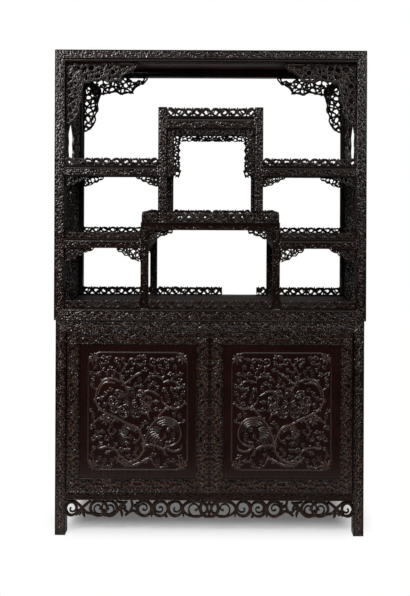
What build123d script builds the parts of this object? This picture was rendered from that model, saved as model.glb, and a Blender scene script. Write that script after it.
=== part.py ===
"""Two-part carved hardwood cabinet: an open stand of stepped shelves on a two-door cupboard.

Millimetres. The origin is on the floor, at the centre of the base. The front faces -Y, +X is to the right
and +Z is up. Each sub-part is written to parts/NAME.step.
"""
from build123d import *
import os

# ---- overall sizes -------------------------------------------------------------------------------------
LOWER_WIDTH = 1260.0          # cupboard, over the legs
LOWER_DEPTH = 374.0
LOWER_HEIGHT = 877.5          # floor to the top of the cupboard
UPPER_HEIGHT = 1102.5         # open stand alone
OVERHANG = 6.0                # the stand is wider than the cupboard by this on every side

# ---- cupboard ------------------------------------------------------------------------------------------
LEG = 42.0                    # square section of a leg
CUPBOARD_TOP_RAIL = 46.5      # height of the top frame
BOTTOM_RAIL = 32.0            # height of the bottom frame
BOTTOM_RAIL_Z = 142.0         # underside of the bottom frame
CUPBOARD_RAIL_DEPTH = 34.0    # bottom rails, front to back
RAIL_SETBACK = 2.0            # rails lie this far behind the posts' outer faces
CUPBOARD_PANEL = 10.0         # thickness of side and back panels
PANEL_SETBACK = 12.0          # panel's outer face behind the leg's outer face
MUNTIN = 40.0                 # upright between the back panels
SHELF_Z = 496.0               # top of the inner shelf's rails
SHELF_RAIL = 26.0             # height of the inner shelf's rails
SHELF_RAIL_DEPTH = 20.0
SHELF_BOARD = 14.0
SHELF_BEARER = 16.0           # thickness of the end bearers
APRON_DROP = 77.0             # depth of the aprons at their lowest
APRON_SETBACK = 12.0
APRON_THICKNESS = 12.0

# ---- doors ---------------------------------------------------------------------------------------------
DOOR_THICKNESS = 24.0
DOOR_SETBACK = 2.0            # closed door behind the legs' front faces
DOOR_GAP = 1.5                # all round each door, and between the two
STILE = 55.0
DOOR_TOP_RAIL = 50.0
DOOR_BOTTOM_RAIL = 55.0
DOOR_PANEL = 12.0             # thickness of the carved panel
DOOR_PANEL_SETBACK = 4.0
FIELD_BORDER = 33.0           # plain border round the carved field
FIELD_BEAD = 3.0              # width of the raised line round the field
FIELD_BEAD_RISE = 1.5
FIELD_NOTCH = 44.0            # corner cut-back of the raised line
DOOR_TENON = 33.0
PIVOT_INSET = 10.0            # pivot's axis from the door's outer edge
PIVOT_DEPTH = 9.0             # pivot's axis behind the door's front face
PIVOT_RADIUS = 5.0
PIVOT_LENGTH = 12.0           # pin beyond the door's own edge gap
PIVOT_CLEARANCE = 0.05        # radial room in the socket
PIVOT_END_ROOM = 1.0          # above the upper pin
HINGE_EDGE_RADIUS = 6.0       # rounding that lets the stile turn past the leg

# ---- open stand ----------------------------------------------------------------------------------------
POST = 40.0                   # square section of an outer post
STAND_BASE = 46.0             # height of the base frame
STAND_TOP = 50.0              # height of the top frame
SHELF_RAIL_WIDTH = 30.0       # shelf rails, front to back
CENTRE_POST = 30.0
CENTRE_HALF_WIDTH = 284.0     # middle shelf and the posts that carry it, to their outer faces
RAISED_POST = 34.0
RAISED_HALF_WIDTH = 214.0     # raised shelf and its posts, to their outer faces
LOWER_SHELF_Z = 1211.5        # tops of the shelves
MIDDLE_SHELF_Z = 1278.0
UPPER_SHELF_Z = 1510.0
RAISED_SHELF_Z = 1710.0
LOWER_SHELF_RAIL = 39.5       # heights of the shelf rails
MIDDLE_SHELF_RAIL = 32.0
UPPER_SHELF_RAIL = 42.0
RAISED_SHELF_RAIL = 48.0
BOARD = 12.0                  # thickness of the shelf boards
TOP_BOARD_DROP = 2.0          # frame boards lie this far below the frame's top

# ---- pierced work --------------------------------------------------------------------------------------
GALLERY_THICKNESS = 9.0
GALLERY_SETBACK = 3.0         # behind the face of the rail it stands on
BASE_GALLERY = 38.5           # heights of the galleries
LOWER_GALLERY = 27.5
MIDDLE_GALLERY = 42.0
UPPER_GALLERY = 32.0
RAISED_GALLERY = 38.0
BASE_GALLERY_LOSS = (49.0, 207.0)  # stretch of the back centre gallery that is broken away
GALLERY_PITCH = 100.0         # from one opening to the next
APRON_PITCH = 118.0
APRON_LOBE = 9.0              # rise of the lobes along the edge
BRACKET_THICKNESS = 10.0
BRACKET_SETBACK = 8.0
LOWER_BRACKET = (100.0, 57.0)     # length and drop
MIDDLE_BRACKET = (101.0, 42.0)
UPPER_BRACKET = (94.0, 46.0)
CORNER_BRACKET = (297.0, 254.0)
CORNER_BRACKET_LIMB = 78.0
CORNER_BRACKET_THICKNESS = 12.0
CORNER_BRACKET_SETBACK = 16.0
FRIEZE_DROP = 28.0
FRIEZE_LEG = (33.0, 195.0)        # width and drop
INNER_APRON = 31.0
FRET_THICKNESS = 12.0
FRET_SETBACK = 14.0
FRET_RIM = 14.0
FRET_OPENING = 0.78               # share of a lattice cell that is open
FRET_TONGUE = 5.0
BORDER_STRIP = 104.0
STRIP_LOBE = 7.0
STRIP_OPENINGS = 3
WINDOW_SPRING = 145.0         # height of the side window's lobed sides
WINDOW_CROWN = 200.0          # height of its pointed head

# ---- joints --------------------------------------------------------------------------------------------
TENON_INSET = 0.2             # shares of the rail's thickness: shoulder in front of the tenon
TENON_THICKNESS = 0.3
TENON_LENGTH = 0.42           # share of the post that the tenon enters
POST_TENON = 0.4              # share of a post's section
POST_TENON_LENGTH = 14.0
TONGUE = 8.0                  # depth of the grooves
TONGUE_THICKNESS = 5.0
PANEL_PLAY = 1.0              # room at the bottom of a groove for the panel to swell

# ---- worked out ----------------------------------------------------------------------------------------
HALF_LOWER = (LOWER_WIDTH / 2, LOWER_DEPTH / 2)
HALF_UPPER = (HALF_LOWER[0] + OVERHANG, HALF_LOWER[1] + OVERHANG)
TOTAL_HEIGHT = LOWER_HEIGHT + UPPER_HEIGHT
STAND_FLOOR = LOWER_HEIGHT + STAND_BASE
STAND_CEILING = TOTAL_HEIGHT - STAND_TOP
DOORWAY_Z = (BOTTOM_RAIL_Z + BOTTOM_RAIL, LOWER_HEIGHT - CUPBOARD_TOP_RAIL)
DOORWAY_HALF = HALF_LOWER[0] - LEG
RAIL_FACE = HALF_UPPER[1] - RAIL_SETBACK            # shelf rails' front faces, as a distance from the centre
CENTRE_INNER = CENTRE_HALF_WIDTH - CENTRE_POST
RAISED_INNER = RAISED_HALF_WIDTH - RAISED_POST
POST_INNER = (HALF_UPPER[0] - POST, HALF_UPPER[1] - POST)


# ---- shapes --------------------------------------------------------------------------------------------
def block(x, y, z):
    """A box between three pairs of coordinates."""
    low = [min(span) for span in (x, y, z)]
    size = [abs(span[1] - span[0]) for span in (x, y, z)]
    return Pos(*low) * Box(*size, align=Align.MIN)


def to_left(shape):
    return mirror(shape, about=Plane.YZ)


def to_back(shape):
    return mirror(shape, about=Plane.XZ)


def left_and_right(*shapes):
    return [side for shape in shapes for side in (to_left(shape), shape)]


def front_and_back(*shapes):
    return [side for shape in shapes for side in (shape, to_back(shape))]


def all_corners(*shapes):
    return left_and_right(*front_and_back(*shapes))


def cut(piece, *others):
    """A piece with the mortises and grooves that the others' tenons and tongues need."""
    for other in others:
        piece = piece - other
    return piece


def cut_each(pieces, *others):
    return [cut(piece, *others) for piece in pieces]


def upright_xz(sketch, y):
    """A board that stands across the cabinet: the sketch's own axes are X and Z."""
    plane = Plane((0, max(y), 0), x_dir=(1, 0, 0), z_dir=(0, -1, 0))
    return extrude(plane * sketch, amount=abs(y[1] - y[0]), dir=plane.z_dir)


def upright_yz(sketch, x):
    """A board that stands front to back: the sketch's own axes are Y and Z."""
    plane = Plane((min(x), 0, 0), x_dir=(0, 1, 0), z_dir=(1, 0, 0))
    return extrude(plane * sketch, amount=abs(x[1] - x[0]), dir=plane.z_dir)


def polygon(*points):
    return Polygon(*points, align=None)


def recessed(face, setback, thickness):
    """The span of a board on the front or right side, behind a face at that distance from the centre."""
    return (face - setback - thickness, face - setback)


def negative(span):
    return (-span[1], -span[0])


# ---- joinery -------------------------------------------------------------------------------------------
def rail_x(x, y, z, post):
    """A rail along X on the front, tenoned at both ends into posts of that section."""
    thickness = y[1] - y[0]
    tenon_y = (y[0] + TENON_INSET * thickness, y[0] + (TENON_INSET + TENON_THICKNESS) * thickness)
    shoulder = (z[1] - z[0]) / 6
    tenon_x = (x[0] - TENON_LENGTH * post, x[1] + TENON_LENGTH * post)
    return block(x, y, z) + block(tenon_x, tenon_y, (z[0] + shoulder, z[1] - shoulder))


def rail_y(x, y, z, post):
    """A rail along Y on the right, tenoned at both ends into posts of that section."""
    thickness = x[1] - x[0]
    tenon_x = (x[1] - (TENON_INSET + TENON_THICKNESS) * thickness, x[1] - TENON_INSET * thickness)
    shoulder = (z[1] - z[0]) / 6
    tenon_y = (y[0] - TENON_LENGTH * post, y[1] + TENON_LENGTH * post)
    return block(x, y, z) + block(tenon_x, tenon_y, (z[0] + shoulder, z[1] - shoulder))


def upright(x, y, z, tenon_top=True):
    """A post with a square tenon at its foot, and one at its head where something stands on it."""
    section = POST_TENON * (x[1] - x[0])
    middle = ((x[0] + x[1]) / 2, (y[0] + y[1]) / 2)
    tenon_z = (z[0] - POST_TENON_LENGTH, z[1] + (POST_TENON_LENGTH if tenon_top else 0))
    tenon = block(*[(centre - section / 2, centre + section / 2) for centre in middle], tenon_z)
    return block(x, y, z) + tenon


def frame_plans(half, bar):
    """Plans of the front and right-hand rails of a frame whose corners are mitred."""
    half_width, half_depth = half
    front = polygon((-half_width, -half_depth), (half_width, -half_depth),
                    (half_width - bar, -half_depth + bar), (-half_width + bar, -half_depth + bar))
    side = polygon((half_width, -half_depth), (half_width, half_depth),
                   (half_width - bar, half_depth - bar), (half_width - bar, -half_depth + bar))
    return front, side


def mitred_frame(half, bar, outer_z, inner_z):
    """Front and right-hand rails of a frame that meets its posts in three-way mitres.

    outer_z is the free side of the frame and inner_z the side that the posts come from. Each post ends in
    a square tenon inside the corner, so the rails have its mortise.
    """
    half_width, half_depth = half
    height = abs(inner_z - outer_z)
    plan_front, plan_side = frame_plans(half, bar)
    face_front = polygon((-half_width, outer_z), (half_width, outer_z),
                         (half_width - bar, inner_z), (-half_width + bar, inner_z))
    face_side = polygon((-half_depth, outer_z), (half_depth, outer_z),
                        (half_depth - bar, inner_z), (-half_depth + bar, inner_z))
    base = Pos(0, 0, min(outer_z, inner_z))
    front = extrude(base * plan_front, amount=height)
    front &= upright_xz(face_front, (-half_depth, -half_depth + bar))
    side = extrude(base * plan_side, amount=height)
    side &= upright_yz(face_side, (half_width - bar, half_width))
    inset = bar * (1 - POST_TENON) / 2
    tenon = block((half_width - bar + inset, half_width - inset),
                  (half_depth - bar + inset, half_depth - inset),
                  (outer_z + 0.2 * (inner_z - outer_z), inner_z))
    return cut(front, *all_corners(tenon)), cut(side, *all_corners(tenon))


def flat_frame(half, bar, z):
    """Front and right-hand rails of a flat frame with mitred corners and a tongue in each mitre."""
    half_width, half_depth = half
    height = z[1] - z[0]
    base = Pos(0, 0, z[0])
    plan_front, plan_side = frame_plans(half, bar)
    front = extrude(base * plan_front, amount=height)
    side = extrude(base * plan_side, amount=height)
    tongue = block((half_width - bar, half_width - bar / 4), (-half_depth + bar / 4, -half_depth + bar),
                   (z[1] - height / 3, z[1] - height / 6))
    tongues = [tongue, to_left(tongue)]
    for end in tongues:
        front = front + end
    return front, cut(side, *front_and_back(tongue))


def tongued(spans, flat, tongue, reach):
    """A board that fills the spans, with a tongue of that reach all round. flat is its thin axis."""
    grown = [(span[0] - reach, span[1] + reach) for span in spans]
    grown[flat] = tongue
    return block(*spans) + block(*grown)


def floating(spans, flat, tongue):
    """A board and the shape of the groove that it floats in."""
    return tongued(spans, flat, tongue, TONGUE - PANEL_PLAY), tongued(spans, flat, tongue, TONGUE)


def shelf_board(x, y, top):
    """A board flush with the top of its frame, tongued along its lower edge."""
    z = (top - BOARD, top)
    return floating((x, y, z), 2, (z[0], z[0] + TONGUE_THICKNESS))


# ---- pierced patterns ----------------------------------------------------------------------------------
def lobed_edge(points, bulge):
    """A chain of arcs through the points, each bulging to the right of its direction of travel."""
    arcs = []
    for start, end in zip(points, points[1:]):
        along = (end[0] - start[0], end[1] - start[1])
        middle = ((start[0] + end[0]) / 2 + along[1] * bulge, (start[1] + end[1]) / 2 - along[0] * bulge)
        arcs.append(ThreePointArc(start, middle, end))
    return arcs


def lobed_face(straight, lobed, bulge):
    """A face bounded by straight lines through one list of points and by lobes through the other."""
    edges = lobed_edge(lobed, bulge)
    chain = [lobed[-1], *straight, lobed[0]]
    for start, end in zip(chain, chain[1:]):
        edges.append(Line(start, end))
    return make_face(edges)


def pierced_strip(origin, along, across, length, depth, pitch, lobe=0.0):
    """A pierced strip with a row of lozenge openings.

    along and across are the strip's own directions in the sketch, each one unit long. The far edge is
    straight, or a row of lobes of that rise.
    """
    count = max(1, round(length / pitch))
    step = length / count
    turn = along[0] * across[1] - along[1] * across[0]

    def place(run, rise):
        return (origin[0] + along[0] * run + across[0] * rise, origin[1] + along[1] * run + across[1] * rise)

    if lobe:
        crests = [place(length - index * step, depth - lobe) for index in range(count + 1)]
        face = lobed_face([place(0, 0), place(length, 0)], crests, turn * lobe / step)
    else:
        face = polygon(place(0, 0), place(length, 0), place(length, depth), place(0, depth))
    for index in range(count):
        middle = (index + 0.5) * step
        face -= polygon(place(middle - 0.36 * step, 0.5 * depth), place(middle, 0.2 * depth),
                        place(middle + 0.36 * step, 0.5 * depth), place(middle, 0.78 * depth))
    return face


def gallery(start, end, foot, height):
    """A low pierced fence that stands on a shelf."""
    return pierced_strip((start, foot), (1, 0), (0, 1), end - start, height, GALLERY_PITCH)


def bracket(corner, size, direction):
    """A small spandrel under a rail's end, with a lobed lower edge and one opening."""
    length, drop = size

    def place(along, down):
        return (corner[0] + direction * along * length, corner[1] - down * drop)

    lobes = [place(1, 0.14), place(0.42, 0.52), place(0.14, 1)]
    face = lobed_face([place(0, 1), place(0, 0), place(1, 0)], lobes, -0.08 * direction)
    face -= polygon(place(0.12, 0.14), place(0.72, 0.14), place(0.36, 0.4), place(0.12, 0.62))
    return face


def corner_bracket(corner):
    """A large pierced spandrel in the upper left corner of a bay: two limbs joined by a solid heart."""
    length, drop = CORNER_BRACKET
    limb = CORNER_BRACKET_LIMB

    def place(along, down):
        return (corner[0] + along, corner[1] - down)

    lobes = [place(length, 0.1 * limb), place(0.87 * length, 0.34 * limb),
             place(0.66 * length, limb), place(0.46 * length, 0.92 * limb),
             place(1.08 * limb, 1.08 * limb), place(0.9 * limb, 0.48 * drop),
             place(0.76 * limb, 0.79 * drop), place(0.36 * limb, 0.95 * drop), place(0.1 * limb, drop)]
    face = lobed_face([place(0, drop), place(0, 0), place(length, 0)], lobes, -0.07)
    face -= polygon(place(0.42 * length, 0.14 * limb), place(0.6 * length, 0.14 * limb),
                    place(0.56 * length, 0.5 * limb), place(0.46 * length, 0.6 * limb))
    face -= polygon(place(0.64 * length, 0.14 * limb), place(0.84 * length, 0.14 * limb),
                    place(0.68 * length, 0.6 * limb))
    face -= polygon(place(0.14 * limb, 0.45 * drop), place(0.6 * limb, 0.45 * drop),
                    place(0.5 * limb, 0.58 * drop), place(0.14 * limb, 0.62 * drop))
    face -= polygon(place(0.14 * limb, 0.67 * drop), place(0.46 * limb, 0.67 * drop),
                    place(0.14 * limb, 0.86 * drop))
    face -= polygon(place(0.5 * limb, 0.14 * limb), place(1.1 * limb, 0.14 * limb),
                    place(0.8 * limb, 0.5 * limb), place(0.5 * limb, 0.5 * limb))
    face -= polygon(place(0.14 * limb, 0.62 * limb), place(0.5 * limb, 0.66 * limb),
                    place(0.5 * limb, 0.95 * limb), place(0.14 * limb, 1.1 * limb))
    return face


def arch_frieze(half_width, top):
    """An arch under a rail: a shallow pierced band with a pierced leg down each post."""
    leg, drop = FRIEZE_LEG
    inner = half_width - leg
    foot = top - drop
    step = (drop - FRIEZE_DROP) / 4
    right = [(half_width - 0.3 * leg, foot), (inner, foot + step), (inner, foot + 2 * step),
             (inner, foot + 3 * step), (inner - 0.6 * leg, top - FRIEZE_DROP)]
    left = [(-x, z) for x, z in reversed(right)]
    span = inner - 0.6 * leg
    band = [(span * share, top - FRIEZE_DROP) for share in (0.5, 0, -0.5)]
    straight = [(-half_width, foot), (-half_width, top), (half_width, top), (half_width, foot)]
    face = lobed_face(straight, [*right, *band, *left], 0.07)
    outer = half_width - 0.18 * leg
    for side in (-1, 1):
        for index in range(3):
            low = foot + (index + 0.45) * step
            face -= polygon((side * outer, low), (side * outer, low + 0.7 * step),
                            (side * (half_width - 0.75 * leg), low + 0.55 * step))
        for index in range(2):
            near = span * (index + 0.15) / 2
            far = span * (index + 0.85) / 2
            face -= polygon((side * near, top - 0.2 * FRIEZE_DROP), (side * far, top - 0.2 * FRIEZE_DROP),
                            (side * (near + far) / 2, top - 0.8 * FRIEZE_DROP))
    return face


def fret_panel(y, z):
    """A rimmed panel of crossing diagonal bars."""
    inner_y = (y[0] + FRET_RIM, y[1] - FRET_RIM)
    inner_z = (z[0] + FRET_RIM, z[1] - FRET_RIM)
    columns = 3
    rows = max(2, round((inner_z[1] - inner_z[0]) * columns / (inner_y[1] - inner_y[0])))
    cell = ((inner_y[1] - inner_y[0]) / columns, (inner_z[1] - inner_z[0]) / rows)
    half = (0.5 * cell[0] * FRET_OPENING, 0.5 * cell[1] * FRET_OPENING)
    face = polygon((y[0], z[0]), (y[1], z[0]), (y[1], z[1]), (y[0], z[1]))
    for column in range(columns):
        for row in range(rows):
            centre = (inner_y[0] + (column + 0.5) * cell[0], inner_z[0] + (row + 0.5) * cell[1])
            face -= polygon((centre[0] - half[0], centre[1]), (centre[0], centre[1] - half[1]),
                            (centre[0] + half[0], centre[1]), (centre[0], centre[1] + half[1]))
    for column in range(1, columns):
        for row in range(1, rows):
            centre = (inner_y[0] + column * cell[0], inner_z[0] + row * cell[1])
            face -= polygon((centre[0] - half[0], centre[1]), (centre[0], centre[1] - half[1]),
                            (centre[0] + half[0], centre[1]), (centre[0], centre[1] + half[1]))
    return face


def side_window(half, z):
    """The faces of a lobed strip beside the side window of the top bay, and of the pointed head above."""
    foot, top = z
    inner = half - BORDER_STRIP
    spring, crown = foot + WINDOW_SPRING, foot + WINDOW_CROWN
    hollow = -inner - STRIP_LOBE
    strip = lobed_face([(-inner, spring), (-inner, top), (-half, top), (-half, foot)],
                       [(hollow, foot), (hollow, foot + WINDOW_SPRING / 2), (hollow, spring)],
                       2 * STRIP_LOBE / WINDOW_SPRING)
    head = lobed_face([(inner, top), (-inner, top)], [(-inner, spring), (0, crown), (inner, spring)],
                      STRIP_LOBE / inner)

    def lozenge(centre, half_y, half_z):
        return polygon((centre[0] - half_y, centre[1]), (centre[0], centre[1] - half_z),
                       (centre[0] + half_y, centre[1]), (centre[0], centre[1] + half_z))

    step = (top - foot) / STRIP_OPENINGS
    middle = -half + 0.47 * BORDER_STRIP
    for row in range(STRIP_OPENINGS):
        strip -= lozenge((middle, foot + (row + 0.5) * step), 0.3 * BORDER_STRIP, 0.36 * step)
    head -= lozenge((0, (crown + top) / 2), 0.66 * inner, 0.36 * (top - crown))
    return strip, head


# ---- cupboard ------------------------------------------------------------------------------------------
def cupboard_case():
    """Legs, frames, boards, side and back panels, shelf and aprons."""
    half_width, half_depth = HALF_LOWER
    leg_inner = (half_width - LEG, half_depth - LEG)
    bottom_z = (BOTTOM_RAIL_Z, BOTTOM_RAIL_Z + BOTTOM_RAIL)
    rail_y_span = recessed(half_depth, RAIL_SETBACK, CUPBOARD_RAIL_DEPTH)
    rail_x_span = recessed(half_width, RAIL_SETBACK, CUPBOARD_RAIL_DEPTH)

    top_front, top_side = mitred_frame(HALF_LOWER, LEG, LOWER_HEIGHT, DOORWAY_Z[1])
    top_back = to_back(top_front)
    bottom_front = rail_x((-leg_inner[0], leg_inner[0]), negative(rail_y_span), bottom_z, LEG)
    bottom_back = to_back(bottom_front)
    bottom_side = rail_y(rail_x_span, (-leg_inner[1], leg_inner[1]), bottom_z, LEG)

    board_top = LOWER_HEIGHT - TOP_BOARD_DROP
    top_board, top_groove = shelf_board((-leg_inner[0], leg_inner[0]), (-leg_inner[1], leg_inner[1]),
                                        board_top)
    floor_board, floor_groove = shelf_board((-rail_x_span[0], rail_x_span[0]),
                                            (-rail_y_span[0], rail_y_span[0]), bottom_z[1])

    muntin_y = (leg_inner[1], half_depth - RAIL_SETBACK)
    muntin_z = (bottom_z[1], DOORWAY_Z[1])
    muntin = upright((-MUNTIN / 2, MUNTIN / 2), muntin_y, muntin_z)
    panel_y = recessed(half_depth, PANEL_SETBACK, CUPBOARD_PANEL)
    panel_x = recessed(half_width, PANEL_SETBACK, CUPBOARD_PANEL)
    tongue_y = (panel_y[0], panel_y[0] + TONGUE_THICKNESS)
    tongue_x = (panel_x[0], panel_x[0] + TONGUE_THICKNESS)
    back_panel, back_groove = floating(((MUNTIN / 2, leg_inner[0]), panel_y, muntin_z), 1, tongue_y)
    side_panel, side_groove = floating((panel_x, (-leg_inner[1], leg_inner[1]), muntin_z), 0, tongue_x)

    shelf_z = (SHELF_Z - SHELF_RAIL, SHELF_Z)
    shelf_front = rail_x((-leg_inner[0], leg_inner[0]), (-leg_inner[1], -leg_inner[1] + SHELF_RAIL_DEPTH),
                         shelf_z, SHELF_BEARER)
    shelf_back = to_back(shelf_front)
    bearer_x = (leg_inner[0], leg_inner[0] + SHELF_BEARER)
    bearer = rail_y(bearer_x, (-leg_inner[1], leg_inner[1]), shelf_z, LEG)
    shelf = block((-bearer_x[1], bearer_x[1]), (-leg_inner[1], leg_inner[1]),
                  (SHELF_Z, SHELF_Z + SHELF_BOARD))

    leg = block((leg_inner[0], half_width), (-half_depth, -leg_inner[1]), (0, LOWER_HEIGHT))
    legs = {"front_left_leg": to_left(leg), "front_right_leg": leg,
            "back_left_leg": to_back(to_left(leg)), "back_right_leg": to_back(leg)}
    into_legs = [*front_and_back(top_front, bottom_front), *left_and_right(top_side, bottom_side, bearer),
                 *left_and_right(back_groove, side_groove)]
    frame_grooves = [top_groove, *left_and_right(back_groove, side_groove)]

    sockets = left_and_right(*pivot_sockets())
    apron_y = negative(recessed(half_depth, APRON_SETBACK, APRON_THICKNESS))
    apron_x = recessed(half_width, APRON_SETBACK, APRON_THICKNESS)
    front_apron = upright_xz(pierced_strip((-leg_inner[0], BOTTOM_RAIL_Z), (1, 0), (0, -1), 2 * leg_inner[0],
                                           APRON_DROP, APRON_PITCH, APRON_LOBE), apron_y)
    side_apron = upright_yz(pierced_strip((-leg_inner[1], BOTTOM_RAIL_Z), (1, 0), (0, -1), 2 * leg_inner[1],
                                          APRON_DROP, APRON_PITCH, APRON_LOBE), apron_x)
    back_apron = upright_xz(plain_apron(leg_inner[0]), negative(apron_y))

    nodes = {name: cut(solid, *into_legs) for name, solid in legs.items()}
    nodes.update({
        "cupboard_top_long_rails": [cut(top_front, *frame_grooves, *sockets),
                                    cut(top_back, *frame_grooves, muntin)],
        "cupboard_top_side_rails": cut_each(left_and_right(top_side), *frame_grooves),
        "cupboard_bottom_long_rails": [cut(bottom_front, floor_groove, *sockets),
                                       cut(bottom_back, floor_groove, muntin, *left_and_right(back_groove))],
        "cupboard_bottom_side_rails": cut_each(left_and_right(bottom_side), floor_groove,
                                               *left_and_right(side_groove)),
        "cupboard_top_board": top_board,
        "cupboard_floor_board": cut(floor_board, muntin, *all_corners(leg),
                                    *left_and_right(side_groove, back_groove)),
        "back_muntin": cut(muntin, *left_and_right(back_groove)),
        "back_panels": left_and_right(back_panel),
        "side_panels": left_and_right(side_panel),
        "inner_shelf_frame": [shelf_front, shelf_back,
                              *cut_each(left_and_right(bearer), shelf_front, shelf_back)],
        "inner_shelf": shelf,
        "front_apron": front_apron,
        "side_aprons": left_and_right(side_apron),
        "back_apron": back_apron,
    })
    return nodes


def plain_apron(half_width):
    """A solid apron whose lower edge rises between its two ends in one shallow curve."""
    foot = BOTTOM_RAIL_Z - APRON_DROP
    middle = BOTTOM_RAIL_Z - APRON_DROP / 2
    edges = [Line((-half_width, foot), (-half_width, BOTTOM_RAIL_Z)),
             Line((-half_width, BOTTOM_RAIL_Z), (half_width, BOTTOM_RAIL_Z)),
             Line((half_width, BOTTOM_RAIL_Z), (half_width, foot)),
             ThreePointArc((half_width, foot), (0, middle), (-half_width, foot))]
    return make_face(edges)


# ---- doors ---------------------------------------------------------------------------------------------
DOOR_X = (DOOR_GAP / 2, DOORWAY_HALF - DOOR_GAP)
DOOR_Y = (-HALF_LOWER[1] + DOOR_SETBACK, -HALF_LOWER[1] + DOOR_SETBACK + DOOR_THICKNESS)
DOOR_Z = (DOORWAY_Z[0] + DOOR_GAP, DOORWAY_Z[1] - DOOR_GAP)
PIVOT = (DOOR_X[1] - PIVOT_INSET, DOOR_Y[0] + PIVOT_DEPTH)


def round_bar(radius, z):
    """An upright round bar on the right door's pivot axis."""
    return Pos(*PIVOT, z[0]) * Cylinder(radius, z[1] - z[0], align=(Align.CENTER, Align.CENTER, Align.MIN))


def pivot_sockets():
    """The holes in the cupboard's rails that the right door's pins turn in."""
    radius = PIVOT_RADIUS + PIVOT_CLEARANCE
    return [round_bar(radius, (DOORWAY_Z[0] - PIVOT_LENGTH, DOORWAY_Z[0])),
            round_bar(radius, (DOORWAY_Z[1], DOORWAY_Z[1] + PIVOT_LENGTH + PIVOT_END_ROOM))]


def right_door():
    """Two stiles, two rails and a carved panel. The outer stile has a turned pin at each end."""
    hinge_x = (DOOR_X[1] - STILE, DOOR_X[1])
    meeting_x = (DOOR_X[0], DOOR_X[0] + STILE)
    opening_x = (meeting_x[1], hinge_x[0])
    top_z = (DOOR_Z[1] - DOOR_TOP_RAIL, DOOR_Z[1])
    bottom_z = (DOOR_Z[0], DOOR_Z[0] + DOOR_BOTTOM_RAIL)
    opening_z = (bottom_z[1], top_z[0])

    tenon_y = (DOOR_Y[0] + DOOR_THICKNESS / 3, DOOR_Y[1] - DOOR_THICKNESS / 3)
    tenon_x = (opening_x[0] - DOOR_TENON, opening_x[1] + DOOR_TENON)
    rails = [block(opening_x, DOOR_Y, z) + block(tenon_x, tenon_y, (z[0] + TONGUE, z[1] - TONGUE))
             for z in (top_z, bottom_z)]

    panel_y = (DOOR_Y[0] + DOOR_PANEL_SETBACK, DOOR_Y[0] + DOOR_PANEL_SETBACK + DOOR_PANEL)
    tongue_y = (panel_y[1] - TONGUE_THICKNESS - DOOR_PANEL / 4, panel_y[1] - DOOR_PANEL / 4)
    panel, groove = floating((opening_x, panel_y, opening_z), 1, tongue_y)
    bead_x = (opening_x[0] + FIELD_BORDER, opening_x[1] - FIELD_BORDER)
    bead_z = (opening_z[0] + FIELD_BORDER, opening_z[1] - FIELD_BORDER)
    bead = notched_field(bead_x, bead_z) - notched_field((bead_x[0] + FIELD_BEAD, bead_x[1] - FIELD_BEAD),
                                                         (bead_z[0] + FIELD_BEAD, bead_z[1] - FIELD_BEAD))
    panel += upright_xz(bead, (panel_y[0] - FIELD_BEAD_RISE, panel_y[0]))

    hinge_stile = block(hinge_x, DOOR_Y, DOOR_Z)
    outer_edge = hinge_stile.edges().filter_by(Axis.Z).sort_by(Axis.X)[-2:].sort_by(Axis.Y)[0]
    hinge_stile = fillet(outer_edge, HINGE_EDGE_RADIUS)
    hinge_stile += round_bar(PIVOT_RADIUS, (DOORWAY_Z[0] - PIVOT_LENGTH, DOOR_Z[0]))
    hinge_stile += round_bar(PIVOT_RADIUS, (DOOR_Z[1], DOORWAY_Z[1] + PIVOT_LENGTH))
    return {
        "hinge_stile": [cut(hinge_stile, *rails, groove)],
        "meeting_stile": [cut(block(meeting_x, DOOR_Y, DOOR_Z), *rails, groove)],
        "rails": cut_each(rails, groove),
        "panel": [panel],
    }


def notched_field(x, z):
    """A rectangle whose corners are cut back square, to leave room for corner sprays."""
    notch = FIELD_NOTCH
    return polygon((x[0] + notch, z[0]), (x[1] - notch, z[0]), (x[1] - notch, z[0] + notch),
                   (x[1], z[0] + notch), (x[1], z[1] - notch), (x[1] - notch, z[1] - notch),
                   (x[1] - notch, z[1]), (x[0] + notch, z[1]), (x[0] + notch, z[1] - notch),
                   (x[0], z[1] - notch), (x[0], z[0] + notch), (x[0] + notch, z[0] + notch))


def doors():
    right = right_door()
    nodes = {f"right_door_{name}": solids for name, solids in right.items()}
    for name, solids in right.items():
        nodes[f"left_door_{name}"] = [to_left(solid) for solid in solids]
    return nodes


# ---- open stand ----------------------------------------------------------------------------------------
def side_shelf(inner, top, rail_height, inner_post):
    """Rails and board of the right-hand shelf between an outer post and an inner post."""
    z = (top - rail_height, top)
    front_y = (-RAIL_FACE, -RAIL_FACE + SHELF_RAIL_WIDTH)
    outer_x = recessed(HALF_UPPER[0], RAIL_SETBACK, SHELF_RAIL_WIDTH)
    inner_x = (inner - SHELF_RAIL_WIDTH, inner)
    inner_end = RAIL_FACE - inner_post
    front = rail_x((inner, POST_INNER[0]), front_y, z, inner_post)
    outer = rail_y(outer_x, (-POST_INNER[1], POST_INNER[1]), z, POST)
    inner_rail = rail_y(inner_x, (-inner_end, inner_end), z, inner_post)
    board, groove = shelf_board((inner, outer_x[0]), (front_y[1], -front_y[1]), top)
    return front, outer, inner_rail, board, groove


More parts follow.
